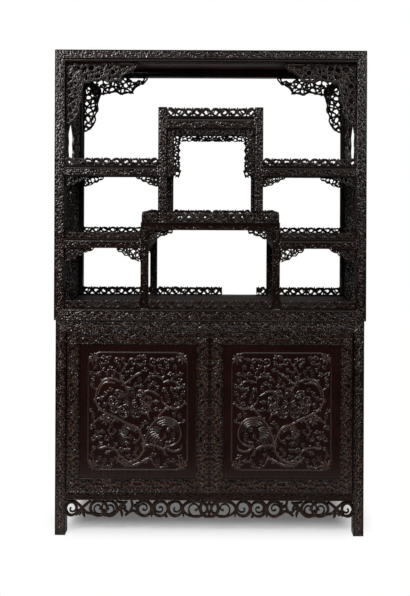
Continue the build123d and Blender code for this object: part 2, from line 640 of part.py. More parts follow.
def stand():
    """Posts, frames, shelves and boards of the open stand."""
    half_width, half_depth = HALF_UPPER
    base_front, base_side = mitred_frame(HALF_UPPER, POST, LOWER_HEIGHT, STAND_FLOOR)
    top_front, top_side = mitred_frame(HALF_UPPER, POST, TOTAL_HEIGHT, STAND_CEILING)
    base_board, base_groove = shelf_board((-POST_INNER[0], POST_INNER[0]), (-POST_INNER[1], POST_INNER[1]),
                                          STAND_FLOOR)
    top_board, top_groove = shelf_board((-POST_INNER[0], POST_INNER[0]), (-POST_INNER[1], POST_INNER[1]),
                                        TOTAL_HEIGHT - TOP_BOARD_DROP)

    lower = side_shelf(CENTRE_HALF_WIDTH, LOWER_SHELF_Z, LOWER_SHELF_RAIL, CENTRE_POST)
    upper = side_shelf(RAISED_HALF_WIDTH, UPPER_SHELF_Z, UPPER_SHELF_RAIL, RAISED_POST)

    middle_z = (MIDDLE_SHELF_Z - MIDDLE_SHELF_RAIL, MIDDLE_SHELF_Z)
    middle_half = (CENTRE_HALF_WIDTH, RAIL_FACE)
    middle_front, middle_side = flat_frame(middle_half, RAISED_POST, middle_z)
    middle_board, middle_groove = shelf_board(
        (-CENTRE_HALF_WIDTH + RAISED_POST, CENTRE_HALF_WIDTH - RAISED_POST),
        (-RAIL_FACE + RAISED_POST, RAIL_FACE - RAISED_POST), MIDDLE_SHELF_Z)

    raised_z = (RAISED_SHELF_Z - RAISED_SHELF_RAIL, RAISED_SHELF_Z)
    raised_y = (-RAIL_FACE, -RAIL_FACE + SHELF_RAIL_WIDTH)
    raised_front = rail_x((-RAISED_INNER, RAISED_INNER), raised_y, raised_z, RAISED_POST)
    raised_side_x = (RAISED_HALF_WIDTH - SHELF_RAIL_WIDTH, RAISED_HALF_WIDTH)
    raised_end = RAIL_FACE - RAISED_POST
    raised_side = rail_y(raised_side_x, (-raised_end, raised_end), raised_z, RAISED_POST)
    raised_board, raised_groove = shelf_board((-raised_side_x[0], raised_side_x[0]),
                                              (raised_y[1], -raised_y[1]), RAISED_SHELF_Z)

    centre_post = upright((CENTRE_INNER, CENTRE_HALF_WIDTH), (-RAIL_FACE, -RAIL_FACE + CENTRE_POST),
                          (STAND_FLOOR, middle_z[0]))
    raised_post = upright((RAISED_INNER, RAISED_HALF_WIDTH), (-RAIL_FACE, -RAIL_FACE + RAISED_POST),
                          (MIDDLE_SHELF_Z, RAISED_SHELF_Z + RAISED_GALLERY), tenon_top=False)
    centre_posts = all_corners(centre_post)
    raised_posts = all_corners(raised_post)
    outer_post = block((POST_INNER[0], half_width), (-half_depth, -POST_INNER[1]),
                       (LOWER_HEIGHT, TOTAL_HEIGHT))
    outer_posts = {"front_left_post": to_left(outer_post), "front_right_post": outer_post,
                   "back_left_post": to_back(to_left(outer_post)), "back_right_post": to_back(outer_post)}

    frets = side_frets()
    fret_solids = [solid for group in frets.values() for solid in group]
    shelf_rails = [*front_and_back(lower[0], upper[0]), lower[1], upper[1]]
    into_posts = [*front_and_back(base_front, top_front), *left_and_right(base_side, top_side),
                  *left_and_right(*shelf_rails), *fret_solids]

    def boards(shelf, *posts):
        return cut_each(left_and_right(shelf[3]), *outer_posts.values(), *posts)

    def rails_of(shelf):
        front, outer, inner, _, groove = shelf
        grooves = left_and_right(groove)
        return [*cut_each(left_and_right(*front_and_back(front), inner), *grooves),
                *cut_each(left_and_right(outer), *grooves, *fret_solids)]

    nodes = {name: cut(solid, *into_posts) for name, solid in outer_posts.items()}
    nodes.update({
        "stand_base_rails": [*cut_each(front_and_back(base_front), base_groove, *centre_posts),
                             *cut_each(left_and_right(base_side), base_groove, *fret_solids)],
        "stand_base_board": cut(base_board, *outer_posts.values()),
        "stand_top_rails": [*cut_each(front_and_back(top_front), top_groove),
                            *cut_each(left_and_right(top_side), top_groove, *fret_solids)],
        "stand_top_board": top_board,
        "centre_posts": cut_each(centre_posts, *left_and_right(*front_and_back(lower[0]), lower[2])),
        "lower_shelf_rails": rails_of(lower),
        "middle_shelf_rails": cut_each([*front_and_back(middle_front), *left_and_right(middle_side)],
                                       middle_groove, *centre_posts, *raised_posts),
        "middle_shelf_board": middle_board,
        "raised_posts": cut_each(raised_posts, *front_and_back(raised_front),
                                 *left_and_right(*front_and_back(upper[0]), upper[2], raised_side)),
        "upper_shelf_rails": rails_of(upper),
        "side_shelf_boards": [*boards(lower, *centre_posts), *boards(upper, *raised_posts)],
        "raised_shelf_rails": cut_each([*front_and_back(raised_front), *left_and_right(raised_side)],
                                       raised_groove),
        "raised_shelf_board": cut(raised_board, *raised_posts),
        **frets,
    })
    return nodes


def side_frets():
    """Pierced panels of the lower and middle side bays, and the window surrounds of the top bay."""
    x = recessed(HALF_UPPER[0], FRET_SETBACK, FRET_THICKNESS)
    y = (-POST_INNER[1] - FRET_TONGUE, POST_INNER[1] + FRET_TONGUE)
    lower_z = (STAND_FLOOR - FRET_TONGUE, LOWER_SHELF_Z - LOWER_SHELF_RAIL + FRET_TONGUE)
    middle_z = (LOWER_SHELF_Z - FRET_TONGUE, UPPER_SHELF_Z - UPPER_SHELF_RAIL + FRET_TONGUE)
    top_z = (UPPER_SHELF_Z, STAND_CEILING)
    strip, head = [upright_yz(face, x) for face in side_window(POST_INNER[1], top_z)]
    return {
        "side_frets": left_and_right(upright_yz(fret_panel(y, lower_z), x),
                                     upright_yz(fret_panel(y, middle_z), x)),
        "side_border_strips": left_and_right(*front_and_back(strip), head),
    }


# ---- galleries and brackets ----------------------------------------------------------------------------
def galleries():
    """The low fences that stand on the shelves' edges."""
    front_y = (-RAIL_FACE + GALLERY_SETBACK, -RAIL_FACE + GALLERY_SETBACK + GALLERY_THICKNESS)
    middle_x = recessed(CENTRE_HALF_WIDTH, GALLERY_SETBACK, GALLERY_THICKNESS)
    raised_x = recessed(RAISED_HALF_WIDTH, GALLERY_SETBACK, GALLERY_THICKNESS)

    def across(start, end, foot, height):
        return upright_xz(gallery(start, end, foot, height), front_y)

    def along(half_length, foot, height, x):
        return upright_yz(gallery(-half_length, half_length, foot, height), x)

    raised_end = RAIL_FACE - RAISED_POST
    inner_end = RAIL_FACE - CENTRE_POST
    infill = along(inner_end, LOWER_SHELF_Z, MIDDLE_SHELF_Z - MIDDLE_SHELF_RAIL - LOWER_SHELF_Z, middle_x)
    inner_apron = upright_yz(pierced_strip((-inner_end, LOWER_SHELF_Z - LOWER_SHELF_RAIL), (1, 0), (0, -1),
                                           2 * inner_end, INNER_APRON, GALLERY_PITCH), middle_x)
    return {
        "base_gallery": [
            *left_and_right(*front_and_back(
                across(CENTRE_HALF_WIDTH, POST_INNER[0], STAND_FLOOR, BASE_GALLERY))),
            across(-CENTRE_INNER, CENTRE_INNER, STAND_FLOOR, BASE_GALLERY),
            to_back(across(-CENTRE_INNER, BASE_GALLERY_LOSS[0], STAND_FLOOR, BASE_GALLERY)),
            to_back(across(BASE_GALLERY_LOSS[1], CENTRE_INNER, STAND_FLOOR, BASE_GALLERY))],
        "lower_shelf_gallery": left_and_right(*front_and_back(
            across(CENTRE_HALF_WIDTH, POST_INNER[0], LOWER_SHELF_Z, LOWER_GALLERY))),
        "middle_shelf_gallery": [
            *front_and_back(across(-RAISED_INNER, RAISED_INNER, MIDDLE_SHELF_Z, MIDDLE_GALLERY)),
            *left_and_right(*front_and_back(across(RAISED_HALF_WIDTH, middle_x[1], MIDDLE_SHELF_Z,
                                                   MIDDLE_GALLERY))),
            *left_and_right(along(-front_y[1], MIDDLE_SHELF_Z, MIDDLE_GALLERY, middle_x))],
        "upper_shelf_gallery": left_and_right(*front_and_back(
            across(RAISED_HALF_WIDTH, POST_INNER[0], UPPER_SHELF_Z, UPPER_GALLERY))),
        "raised_shelf_gallery": [
            *front_and_back(across(-RAISED_INNER, RAISED_INNER, RAISED_SHELF_Z, RAISED_GALLERY)),
            *left_and_right(along(raised_end, RAISED_SHELF_Z, RAISED_GALLERY, raised_x))],
        "inner_strips": left_and_right(infill, inner_apron),
    }


def brackets():
    """Spandrels under the shelves' ends, corner brackets, the raised shelf's friezes and inner aprons."""
    y = negative(recessed(RAIL_FACE, BRACKET_SETBACK, BRACKET_THICKNESS))
    corner_y = negative(recessed(HALF_UPPER[1], CORNER_BRACKET_SETBACK, CORNER_BRACKET_THICKNESS))
    lower_z = LOWER_SHELF_Z - LOWER_SHELF_RAIL
    middle_z = MIDDLE_SHELF_Z - MIDDLE_SHELF_RAIL
    upper_z = UPPER_SHELF_Z - UPPER_SHELF_RAIL
    raised_z = RAISED_SHELF_Z - RAISED_SHELF_RAIL

    def four_pairs(inner, z, size):
        return all_corners(upright_xz(bracket((inner, z), size, 1), y),
                           upright_xz(bracket((POST_INNER[0], z), size, -1), y))

    corner = to_left(upright_xz(corner_bracket((-POST_INNER[0], STAND_CEILING)), corner_y))
    frieze = upright_xz(arch_frieze(RAISED_INNER, raised_z), y)
    return {
        "lower_shelf_brackets": four_pairs(CENTRE_HALF_WIDTH, lower_z, LOWER_BRACKET),
        "middle_shelf_brackets": all_corners(
            upright_xz(bracket((CENTRE_INNER, middle_z), MIDDLE_BRACKET, -1), y)),
        "upper_shelf_brackets": four_pairs(RAISED_HALF_WIDTH, upper_z, UPPER_BRACKET),
        "front_corner_brackets": left_and_right(corner),
        "back_corner_brackets": left_and_right(to_back(corner)),
        "front_arch_frieze": frieze,
        "back_arch_frieze": to_back(frieze),
    }


# ---- output --------------------------------------------------------------------------------------------
def write(nodes):
    os.makedirs("parts", exist_ok=True)
    for name, shapes in nodes.items():
        pieces = shapes if isinstance(shapes, list) else [shapes]
        solids = [solid for piece in pieces for solid in piece.solids()]
        export_step(solids[0] if len(solids) == 1 else Compound(solids), f"parts/{name}.step")


write({**cupboard_case(), **doors(), **stand(), **galleries(), **brackets()})
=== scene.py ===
import math

import bpy
import numpy as np
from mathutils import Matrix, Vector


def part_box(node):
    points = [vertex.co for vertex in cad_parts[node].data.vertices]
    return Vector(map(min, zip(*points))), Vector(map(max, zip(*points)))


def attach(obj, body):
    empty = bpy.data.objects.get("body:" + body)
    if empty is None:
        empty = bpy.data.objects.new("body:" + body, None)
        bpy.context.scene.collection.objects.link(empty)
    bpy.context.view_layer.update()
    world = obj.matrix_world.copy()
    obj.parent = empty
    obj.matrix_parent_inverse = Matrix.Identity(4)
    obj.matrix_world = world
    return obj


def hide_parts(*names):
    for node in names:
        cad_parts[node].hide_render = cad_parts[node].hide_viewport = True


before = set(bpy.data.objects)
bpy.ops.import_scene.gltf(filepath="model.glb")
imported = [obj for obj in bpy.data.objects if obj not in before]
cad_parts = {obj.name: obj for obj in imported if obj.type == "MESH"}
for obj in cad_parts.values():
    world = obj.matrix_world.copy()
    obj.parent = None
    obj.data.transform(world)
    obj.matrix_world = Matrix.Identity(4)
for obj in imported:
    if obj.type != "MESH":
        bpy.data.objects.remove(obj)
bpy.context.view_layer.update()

# ---- legs -------------------------------------------------------------------------------------------
# Four square legs of dark hardwood carry the cupboard. Their front and side faces are carved from the
# solid with a running scroll between two thin beads, and their heads are mitred to the top frame.
MM = 0.001
CUPBOARD_TOP_Z = (831.0, 877.5)         # underside and top of the cupboard's top frame
CELL = 2.3       # spacing of the points on a carved face
STROKE_STEP = 0.9                       # spacing of the gouge's steps along a stroke
CARVING_DEPTH = 3.0
PLAIN_RELIEF = 0.62                     # height of an uncarved face, between ground 0 and ridge 1
SCROLL_MARGIN = 4.5                     # from the edge of a face to its scroll
POST_PITCH = 2.9                        # length of a bay of scroll on an upright, in half widths of its band
BEAD = 1.6                              # half the width of the bead along the edge of a face
OVERRUN = 2.0                           # how far the carving is drawn past the ends of its face
END_BEAD = 2.4                          # width of the bead across the ends of a carved face
ARRIS, LEAST_ROUND = 0.8, 2.0           # softened edge of every bar, and radius from which one is rounded
GRAIN_ALONG, GRAIN_ACROSS = 18, 420     # how fine the wood's streaks are along and across its grain
TAU = 2 * math.pi


def line(*points):
    """A smooth stroke through points of (along, across, half its width)."""
    p = np.array(points, float)
    ends = np.vstack([2 * p[0] - p[1], p, 2 * p[-1] - p[-2]])
    parts = []
    for a, b, c, d in zip(ends, ends[1:], ends[2:], ends[3:]):
        t = np.arange(0, 1, STROKE_STEP / max(STROKE_STEP, np.hypot(*(c - b)[:2])))[:, None]
        parts.append(0.5 * (2 * b + (c - a) * t + (2 * a - 5 * b + 4 * c - d) * t ** 2
                            + (3 * b - a - 3 * c + d) * t ** 3))
    return np.vstack([*parts, p[-1:]])


def curl(x, y, radius, start, turn, width, inner=0.22, tip=0.55):
    """A stroke that winds in round a point and ends in a small knob."""
    t = np.linspace(0, 1, max(8, int(abs(turn) * radius * (1 + inner) / 2 / STROKE_STEP)))
    angle = start + turn * t
    reach = radius * (1 - (1 - inner) * t ** 0.85)
    body = np.column_stack([x + reach * np.cos(angle), y + reach * np.sin(angle),
                            width * (1 - (1 - tip) * t)])
    return np.vstack([body, body[-1] + [0, 0, 0.55 * width]])


def leaf(x0, y0, x1, y1, bend, width):
    """A pointed leaf from its stalk to its tip."""
    length = math.hypot(x1 - x0, y1 - y0)
    t = np.linspace(0, 1, max(5, int(length / STROKE_STEP)))
    hump = 4 * bend * t * (1 - t)
    return np.column_stack([x0 + (x1 - x0) * t - (y1 - y0) / length * hump,
                            y0 + (y1 - y0) * t + (x1 - x0) / length * hump,
                            width * np.sin(np.pi * (0.12 + 0.82 * t)) ** 0.8])


def off(x, y, reach, angle):
    """The point at a reach and an angle from a point."""
    return x + reach * math.cos(angle), y + reach * math.sin(angle)


def both_ways(strokes, limit=1e9):
    """The strokes of one half, kept to that half, and their mirror images."""
    kept = [s[(s[:, 0] >= -0.01) & (s[:, 0] <= limit + 0.01)] for s in strokes]
    kept = [s for s in kept if len(s) > 1]
    return [*kept, *[s * [-1, 1, 1] for s in kept]]


def carve(strokes, u, v, cell, solid=()):
    """Rounded height, 0 to 1, and inside distance of the strokes over a grid of points."""
    columns, rows = (int(round((span[1] - span[0]) / cell)) + 1 for span in (u, v))
    height = np.zeros(columns * rows)
    inside = np.full(columns * rows, -9.0)
    for group, raised in ((strokes, True), (solid, False)):
        points = np.vstack([np.zeros((0, 3)), *group])
        sizes = np.ceil(points[:, 2] / cell)
        for size in np.unique(sizes):
            x, y, radius = (each[:, None, None] for each in points[sizes == size].T)
            near = np.arange(-int(size) - 2, int(size) + 3)
            column = np.rint((x - u[0]) / cell).astype(int) + near[None, None, :]
            row = np.rint((y - v[0]) / cell).astype(int) + near[None, :, None]
            column, row = np.broadcast_arrays(column, row)
            away = np.hypot(column * cell + u[0] - x, row * cell + v[0] - y)
            kept = (column >= 0) & (column < columns) & (row >= 0) & (row < rows)
            index = (row * columns + column)[kept]
            np.maximum.at(inside, index, (radius - away)[kept])
            if raised:
                dome = np.sqrt(np.clip(1 - (away / (radius + 0.35 * cell)) ** 2, 0, 1))
                np.maximum.at(height, index, (dome * np.clip(0.80 + radius / 11, 0, 1))[kept])
    return height.reshape(rows, columns), inside.reshape(rows, columns)


def tangle(u, v, within, spacing, width, seed):
    """Winding stems between scattered knots, with leaves and curls."""
    rng = np.random.default_rng(seed)
    knots = []
    for y in np.arange(*v, 0.4 * spacing):
        for x in np.arange(*u, 0.4 * spacing):
            a, b = x + rng.uniform(0, 0.4) * spacing, y + rng.uniform(0, 0.4) * spacing
            if within(a, b) and all(math.hypot(a - c, b - d) > 0.82 * spacing for c, d in knots):
                knots.append((a, b))
    knots = np.array(knots)
    apart = np.hypot(*(knots[:, None] - knots[None]).transpose(2, 0, 1))
    strokes = []
    for i, j in zip(*np.nonzero(np.triu((apart < 2 * spacing) & (apart > 0)))):
        middle = (knots[i] + knots[j]) / 2
        others = np.delete(np.hypot(*(knots - middle).T), (i, j))
        if len(others) and others.min() < 0.55 * apart[i, j] or not within(*middle):
            continue
        bow = middle + rng.uniform(-0.16, 0.16) * (knots[j] - knots[i])[::-1] * (-1, 1)
        strokes.append(line((*knots[i], 1.25 * width), (*bow, 0.8 * width), (*knots[j], 1.25 * width)))
    for x, y in knots:
        turn = rng.choice((-1, 1))
        strokes.append(curl(x, y, 0.26 * spacing, rng.uniform(0, TAU), turn * 4.6, 0.75 * width))
        strokes.append(leaf(x, y, *off(x, y, 0.55 * spacing, rng.uniform(0, TAU)), turn, 1.1 * width))
    return strokes


def vine(length, half, pitch, seed):
    """A winding stem with a large and two small curls in each bay, and a net of leaves between them."""
    rng = np.random.default_rng(seed)
    w = 0.14 * half
    count = max(1, round(length / 2 / pitch))
    step = length / 2 / count
    leaves = ((0.20, 0.70, 0.30, 0.98, 0.9, 1), (0.08, 0.86, 0.14, 1, 0, 0.8),
              (0.30, 0.30, 0.27, 0.62, 0.8, 0.9), (0.10, -0.90, 0.24, -0.96, 0, 0.9),
              (0.28, -0.80, 0.38, -0.95, 0, 0.8))
    strokes = []
    for k in range(count + 1):
        s = 1 if k % 2 else -1
        x = k * step
        j = rng.uniform(-1, 1, 4)
        reach = min(0.34 * step, 0.60 * half) * (1 + 0.06 * j[1])
        middle = s * (0.22 + 0.04 * j[2]) * half
        strokes += [
            line((x, -s * 0.70 * half, 0.7 * w), (x + 0.22 * step, -s * 0.56 * half, 0.8 * w),
                 (x + 0.5 * step, 0.04 * j[0] * half, w), (x + 0.78 * step, s * 0.56 * half, 0.8 * w),
                 (x + step, s * 0.70 * half, 0.7 * w)),
            line((x + 0.30 * step, -s * 0.30 * half, 0.5 * w), (x + 0.44 * step, s * 0.12 * half, 0.7 * w),
                 (x + 0.58 * step, s * 0.62 * half, 0.6 * w)),
            curl(x, middle, reach, -0.35 * s, s * 6.6, 1.15 * w, inner=0.16),
            line((x + 0.42 * step, s * 0.02 * half, 0.9 * w),
                 (x + 0.5 * (0.42 * step + reach), middle - s * 0.34 * reach, w),
                 (x + 0.96 * reach, middle - s * 0.3 * reach, 1.1 * w))]
        for side in (-1, 1):
            strokes.append(curl(x + side * 0.42 * step, s * (0.66 + 0.04 * j[3]) * half, 0.26 * half,
                                side * s * 1.2, -side * s * 4.6, 0.85 * w, inner=0.3))
            for x0, y0, x1, y1, bend, wide in leaves:
                strokes.append(leaf(x + side * x0 * step, s * y0 * half, x + side * x1 * step, s * y1 * half,
                                    side * s * bend * w, wide * w))
    net = tangle((0, length / 2), (-half, half), lambda x, y: abs(y) < half, 0.86 * half, 0.62 * w, seed)
    return both_ways(strokes + net)


def scroll_face(length, width, seed, pitch, band=None):
    """A face's carving: the running scroll in its band, and beads along both edges and the band."""
    low, high = band or (-width / 2 + SCROLL_MARGIN, width / 2 - SCROLL_MARGIN)
    middle, half = (low + high) / 2, (high - low) / 2
    strokes = [s + [0, middle, 0] for s in vine(length, half, pitch * half, seed)]
    beads = {(BEAD - width) / 2, (width - BEAD) / 2}
    if band:
        beads |= {low - 1.5, high + 1.5}
        beads |= {v for v in (-width / 2 + 5.5, width / 2 - 5.5) if v < low - 5 or v > high + 5}
    end = length / 2 + OVERRUN
    return strokes + [line((-end, v, BEAD), (end, v, BEAD)) for v in sorted(beads)]


def tube_faces(stations, sides):
    """The wall of a closed tube whose rings of points are numbered one after another."""
    number = np.arange(stations * sides).reshape(stations, sides)
    right = np.roll(number, -1, 1)
    return np.stack([number[:-1], right[:-1], right[1:], number[1:]], -1).reshape(-1, 4)


def bar(axis, x, y, z, carved=(), hub=(1, 1), start=None, end=None, corners=(ARRIS,) * 4, seed=1,
        pitch=3.2, band=None):
    """A closed bar along an axis, whose named faces are carved below the bar's own surface.

    start and end give the bar's ends as functions of the points of its section, for mitres. hub is the
    corner of the section that both end faces fan out from. corners are the radii of its four arrises.
    pitch is the length of a bay of the scroll in half widths of its band, which is the whole face or less.
    """
    spans = (x, y, z)
    across, up = (axis + 1) % 3, (axis + 2) % 3
    (b0, b1), (c0, c1) = spans[across], spans[up]
    ring, outward, place, which = [], [], [], []
    faces = (("+" + "xyz"[across], b1, c0, c1), ("+" + "xyz"[up], c1, b1, b0),
             ("-" + "xyz"[across], b0, c1, c0), ("-" + "xyz"[up], c0, b0, b1))
    for index, (name, level, first, last) in enumerate(faces):
        def turned(level, along):
            return (level, along) if index % 2 == 0 else (along, level)

        after = corners[index]
        sign = 1 if last > first else -1
        ends = (first + sign * corners[index - 1], last - sign * after)
        count = max(2, int(round(abs(ends[1] - ends[0]) / CELL)) + 1) if name in carved else 2
        normal = turned(1.0 if name[0] == "+" else -1.0, 0)
        for t in np.linspace(*ends, count):
            ring.append(turned(level, t))
            outward.append(normal)
            place.append(t - (first + last) / 2)
            which.append(index if name in carved else -1)
        if after > LEAST_ROUND:
            middle = np.array(turned(level, last), float) - after * (np.array(normal) + turned(0, sign))
            for angle in math.atan2(normal[1], normal[0]) + np.radians([18, 36, 54, 72]):
                outward.append((math.cos(angle), math.sin(angle)))
                ring.append(tuple(middle + after * np.array(outward[-1])))
                place.append(0)
                which.append(-1)
    ring, outward, place, which = map(np.array, (ring, outward, place, which))
    section = np.zeros((len(ring), 3))
    section[:, across], section[:, up] = ring.T
    low = np.full(len(ring), float(spans[axis][0])) if start is None else start(section)
    high = np.full(len(ring), float(spans[axis][1])) if end is None else end(section)
    length, middle = spans[axis][1] - spans[axis][0], sum(spans[axis]) / 2
    stations = int(round(length / CELL)) + 1 if carved else 2
    along = low + (high - low) * np.linspace(0, 1, stations)[:, None]
    relief = np.full(along.shape, PLAIN_RELIEF)
    for index in sorted(set(which[which >= 0])):
        width = abs(faces[index][3] - faces[index][2])
        strokes = scroll_face(length, width, seed + index, pitch, band)
        end_u = length / 2 + OVERRUN
        raised, _ = carve(strokes, (-end_u, end_u), (-width / 2, width / 2), 1.0)
        mine = which == index
        column = np.rint(along[:, mine] - middle + end_u).astype(int)
        row = np.rint(place[mine] + width / 2).astype(int)[None, :]
        found = raised[np.clip(row, 0, raised.shape[0] - 1), np.clip(column, 0, raised.shape[1] - 1)]
        edge = np.minimum(along[:, mine] - low[mine], high[mine] - along[:, mine])
        relief[:, mine] = np.maximum(found, np.sqrt(np.clip(1 - (edge / END_BEAD) ** 2, 0, 1)))
    sunk = np.where(which >= 0, CARVING_DEPTH * (1 - relief), 0)
    points = np.zeros((stations, len(ring), 3))
    points[:, :, axis] = along
    points[:, :, across] = ring[:, 0] - outward[:, 0] * sunk
    points[:, :, up] = ring[:, 1] - outward[:, 1] * sunk
    centre = int(np.argmax(ring[:, 0] * hub[0] + ring[:, 1] * hub[1]))
    order = np.roll(np.arange(len(ring)), -centre)
    fan = np.stack([np.full(len(ring) - 2, order[0]), order[1:-1], order[2:]], -1)
    return {"points": points.reshape(-1, 3), "quads": tube_faces(stations, len(ring)),
            "tris": np.vstack([fan[:, ::-1], fan + (stations - 1) * len(ring)]), "relief": relief.ravel()}


def mirrored(part, axis=0):
    """The same part on the other side of the middle plane."""
    points = part["points"].copy()
    points[:, axis] *= -1
    return {**part, "points": points, "quads": part["quads"][:, ::-1], "tris": part["tris"][:, ::-1]}


def srgb(code):
    """A colour written as six hexadecimal digits, in linear light."""
    values = [int(code[k:k + 2], 16) / 255 for k in (0, 2, 4)]
    return (*(v / 12.92 if v <= 0.04045 else ((v + 0.055) / 1.055) ** 2.4 for v in values), 1)


def coat(tree, kind, inputs, **settings):
    """One step of a finish: a shader node whose inputs are values or the outputs of earlier steps."""
    made = tree.nodes.new("ShaderNode" + kind)
    for name, value in settings.items():
        setattr(made, name, value)
    for name, value in inputs.items():
        if isinstance(value, bpy.types.NodeSocket):
            tree.links.new(value, made.inputs[name])
        else:
            made.inputs[name].default_value = value
    return made


def graded(tree, value, *stops):
    """A colour that follows a value through stops of (position, colour), the first and the last first."""
    made = coat(tree, "ValToRGB", {"Fac": value})
    elements = made.color_ramp.elements
    for k, (position, colour) in enumerate(stops):
        element = elements[k] if k < 2 else elements.new(position)
        element.position, element.color = position, colour
    return made.outputs["Color"]


def times(tree, a, b):
    """One colour times another."""
    return coat(tree, "Mix", {"Factor": 1.0, "A": a, "B": b}, data_type="RGBA",
                blend_type="MULTIPLY").outputs["Result"]


def wood(name, grain, tones, roughness=0.21, polish=0.5):
    """Oiled hardwood with fine straight grain, darker low down as painted shade, and warmer there.

    grain is the axis that it runs along. Three tones are the carving's ground, dark as painted shade, a plain
    face, and the ridges, pale as a painted highlight and as rubbed wear. One tone is that of a plain board.
    """
    material = bpy.data.materials.new(name)
    material.use_nodes = True
    tree = material.node_tree
    shader = tree.nodes["Principled BSDF"]
    place = coat(tree, "TexCoord", {}).outputs["Object"]
    scale = [GRAIN_ALONG if axis == grain else GRAIN_ACROSS for axis in range(3)]
    stretch = coat(tree, "Mapping", {"Vector": place, "Scale": scale})
    streaks = coat(tree, "TexNoise", {"Vector": stretch.outputs["Vector"], "Scale": 1.0, "Detail": 5.0})
    streaks = streaks.outputs["Fac"]
    cloud = coat(tree, "TexNoise", {"Vector": place, "Scale": 7.0, "Detail": 3.0}).outputs["Fac"]
    tone = coat(tree, "Math", {0: streaks, 1: cloud}, operation="ADD").outputs[0]
    tone = coat(tree, "Math", {0: tone, 1: 0.5}, operation="MULTIPLY").outputs[0]
    colour = tuple(map(srgb, tones))
    # the carving's height sets the colour: painted shade in its ground, a painted highlight on its ridges
    if len(tones) == 3:
        relief = coat(tree, "Attribute", {}, attribute_name="relief").outputs["Fac"]
        face = graded(tree, relief, (0.05, colour[0]), (1.0, colour[2]), (0.5, colour[1]), (0.90, colour[1]))
    else:
        face = colour[0]
    face = times(tree, face, graded(tree, tone, (0.36, (0.62, 0.58, 0.56, 1)), (0.66, (1.30, 1.30, 1.32, 1))))
    # painted shade low down: below 1.3 m the wood turns darker and warmer towards the floor
    height = coat(tree, "SeparateXYZ", {0: place}).outputs["Z"]
    rise = coat(tree, "MapRange", {"Value": height, "From Min": 0.1, "From Max": 1.3}).outputs["Result"]
    shade_and_warmth = coat(tree, "Mix", {"Factor": rise, "A": (1.16, 0.80, 0.60, 1), "B": (1.0, 1.0, 1.0, 1)},
                  data_type="RGBA").outputs["Result"]
    gloss = coat(tree, "MapRange", {"Value": streaks, "From Min": 0.3, "From Max": 0.7,
                                    "To Min": roughness - 0.08, "To Max": roughness + 0.06})
    pores = coat(tree, "Bump", {"Height": streaks, "Strength": 0.25, "Distance": 0.0004})
    for socket, output in (("Base Color", times(tree, face, shade_and_warmth)), ("Roughness", gloss.outputs["Result"]),
                           ("Normal", pores.outputs["Normal"])):
        tree.links.new(output, shader.inputs[socket])
    shader.inputs["Specular IOR Level"].default_value = polish
    return material


# painted highlight: the uprights' ridges get the palest tone of the carved woods
carved_upright = wood("carved_upright", 2, ("0d0604", "170c08", "7e7a78"))


def placed(name, data):
    """A new object in the scene."""
    made = bpy.data.objects.new(name, data)
    bpy.context.scene.collection.objects.link(made)
    return made


def piece(name, parts, material, body="carcass", node=None):
    """One visible piece from its parts, which stands for the node that its name begins with, or another."""
    node = node or name.rsplit("_", 1)[0]
    points = np.vstack([p["points"] for p in parts]) * MM
    first = np.cumsum([0] + [len(p["points"]) for p in parts])
    quads, tris = (np.vstack([p[kind].reshape(-1, sides) + n for p, n in zip(parts, first)])
                   for kind, sides in (("quads", 4), ("tris", 3)))
    mesh = bpy.data.meshes.new(name)
    mesh.vertices.add(len(points))
    mesh.vertices.foreach_set("co", points.astype(np.float32).ravel())
    mesh.loops.add(quads.size + tris.size)
    mesh.loops.foreach_set("vertex_index", np.concatenate([quads.ravel(), tris.ravel()]).astype(np.int32))
    starts = np.concatenate([np.arange(len(quads)) * 4, len(quads) * 4 + np.arange(len(tris)) * 3])
    mesh.polygons.add(len(starts))
    mesh.polygons.foreach_set("loop_start", starts.astype(np.int32))
    mesh.update(calc_edges=True)
    mesh.validate()
    relief = mesh.attributes.new("relief", "FLOAT", "POINT")
    relief.data.foreach_set("value", np.concatenate([p["relief"] for p in parts]).astype(np.float32))
    mesh.shade_smooth()
    mesh.set_sharp_from_angle(angle=math.radians(52))
    mesh.materials.append(material)
    made = placed(name, mesh)
    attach(made, body)
    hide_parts(node)


def uprights(kind, seed, **mitres):
    """Four corner uprights, front and back on the right and their mirror images, with mitred ends.

    Each mitre gives the end's heights at the inner and the outer corner of the section.
    """
    for depth, faces, toward_middle in (("front", ("-y", "+x"), 1), ("back", ("+x",), -1)):
        low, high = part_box(f"{depth}_right_{kind}")
        x, y, z = ((low[k] / MM, high[k] / MM) for k in range(3))

        def mitred(inner_z, outer_z):
            def height(section):
                out_x = (section[:, 0] - x[0]) / (x[1] - x[0])
                out_y = np.abs(section[:, 1])
                out_y = (out_y - out_y.min()) / (out_y.max() - out_y.min())
                return inner_z + (outer_z - inner_z) * np.minimum(out_x, out_y)
            return height

        made = bar(2, x, y, z, faces, hub=(-1, toward_middle), seed=seed, pitch=POST_PITCH,
                   **{end: mitred(*heights) for end, heights in mitres.items()})
        for side, part in (("right", made), ("left", mirrored(made))):
            piece(f"{depth}_{side}_{kind}_carved", [part], carved_upright)


uprights("leg", 3, end=CUPBOARD_TOP_Z)

# ---- cupboard frames --------------------------------------------------------------------------------
# The cupboard's top frame is mitred to the legs on both outward faces, and its bottom rails are tenoned
# between the legs. Front and side rails carry the same carved scroll, and the back ones are plain.
CUPBOARD_HALF = (630.0, 187.0)
LEG = 42.0
BOTTOM_RAIL_Z = (142.0, 174.0)
RAIL_SETBACK, BOTTOM_RAIL_DEPTH = 2.0, 34.0
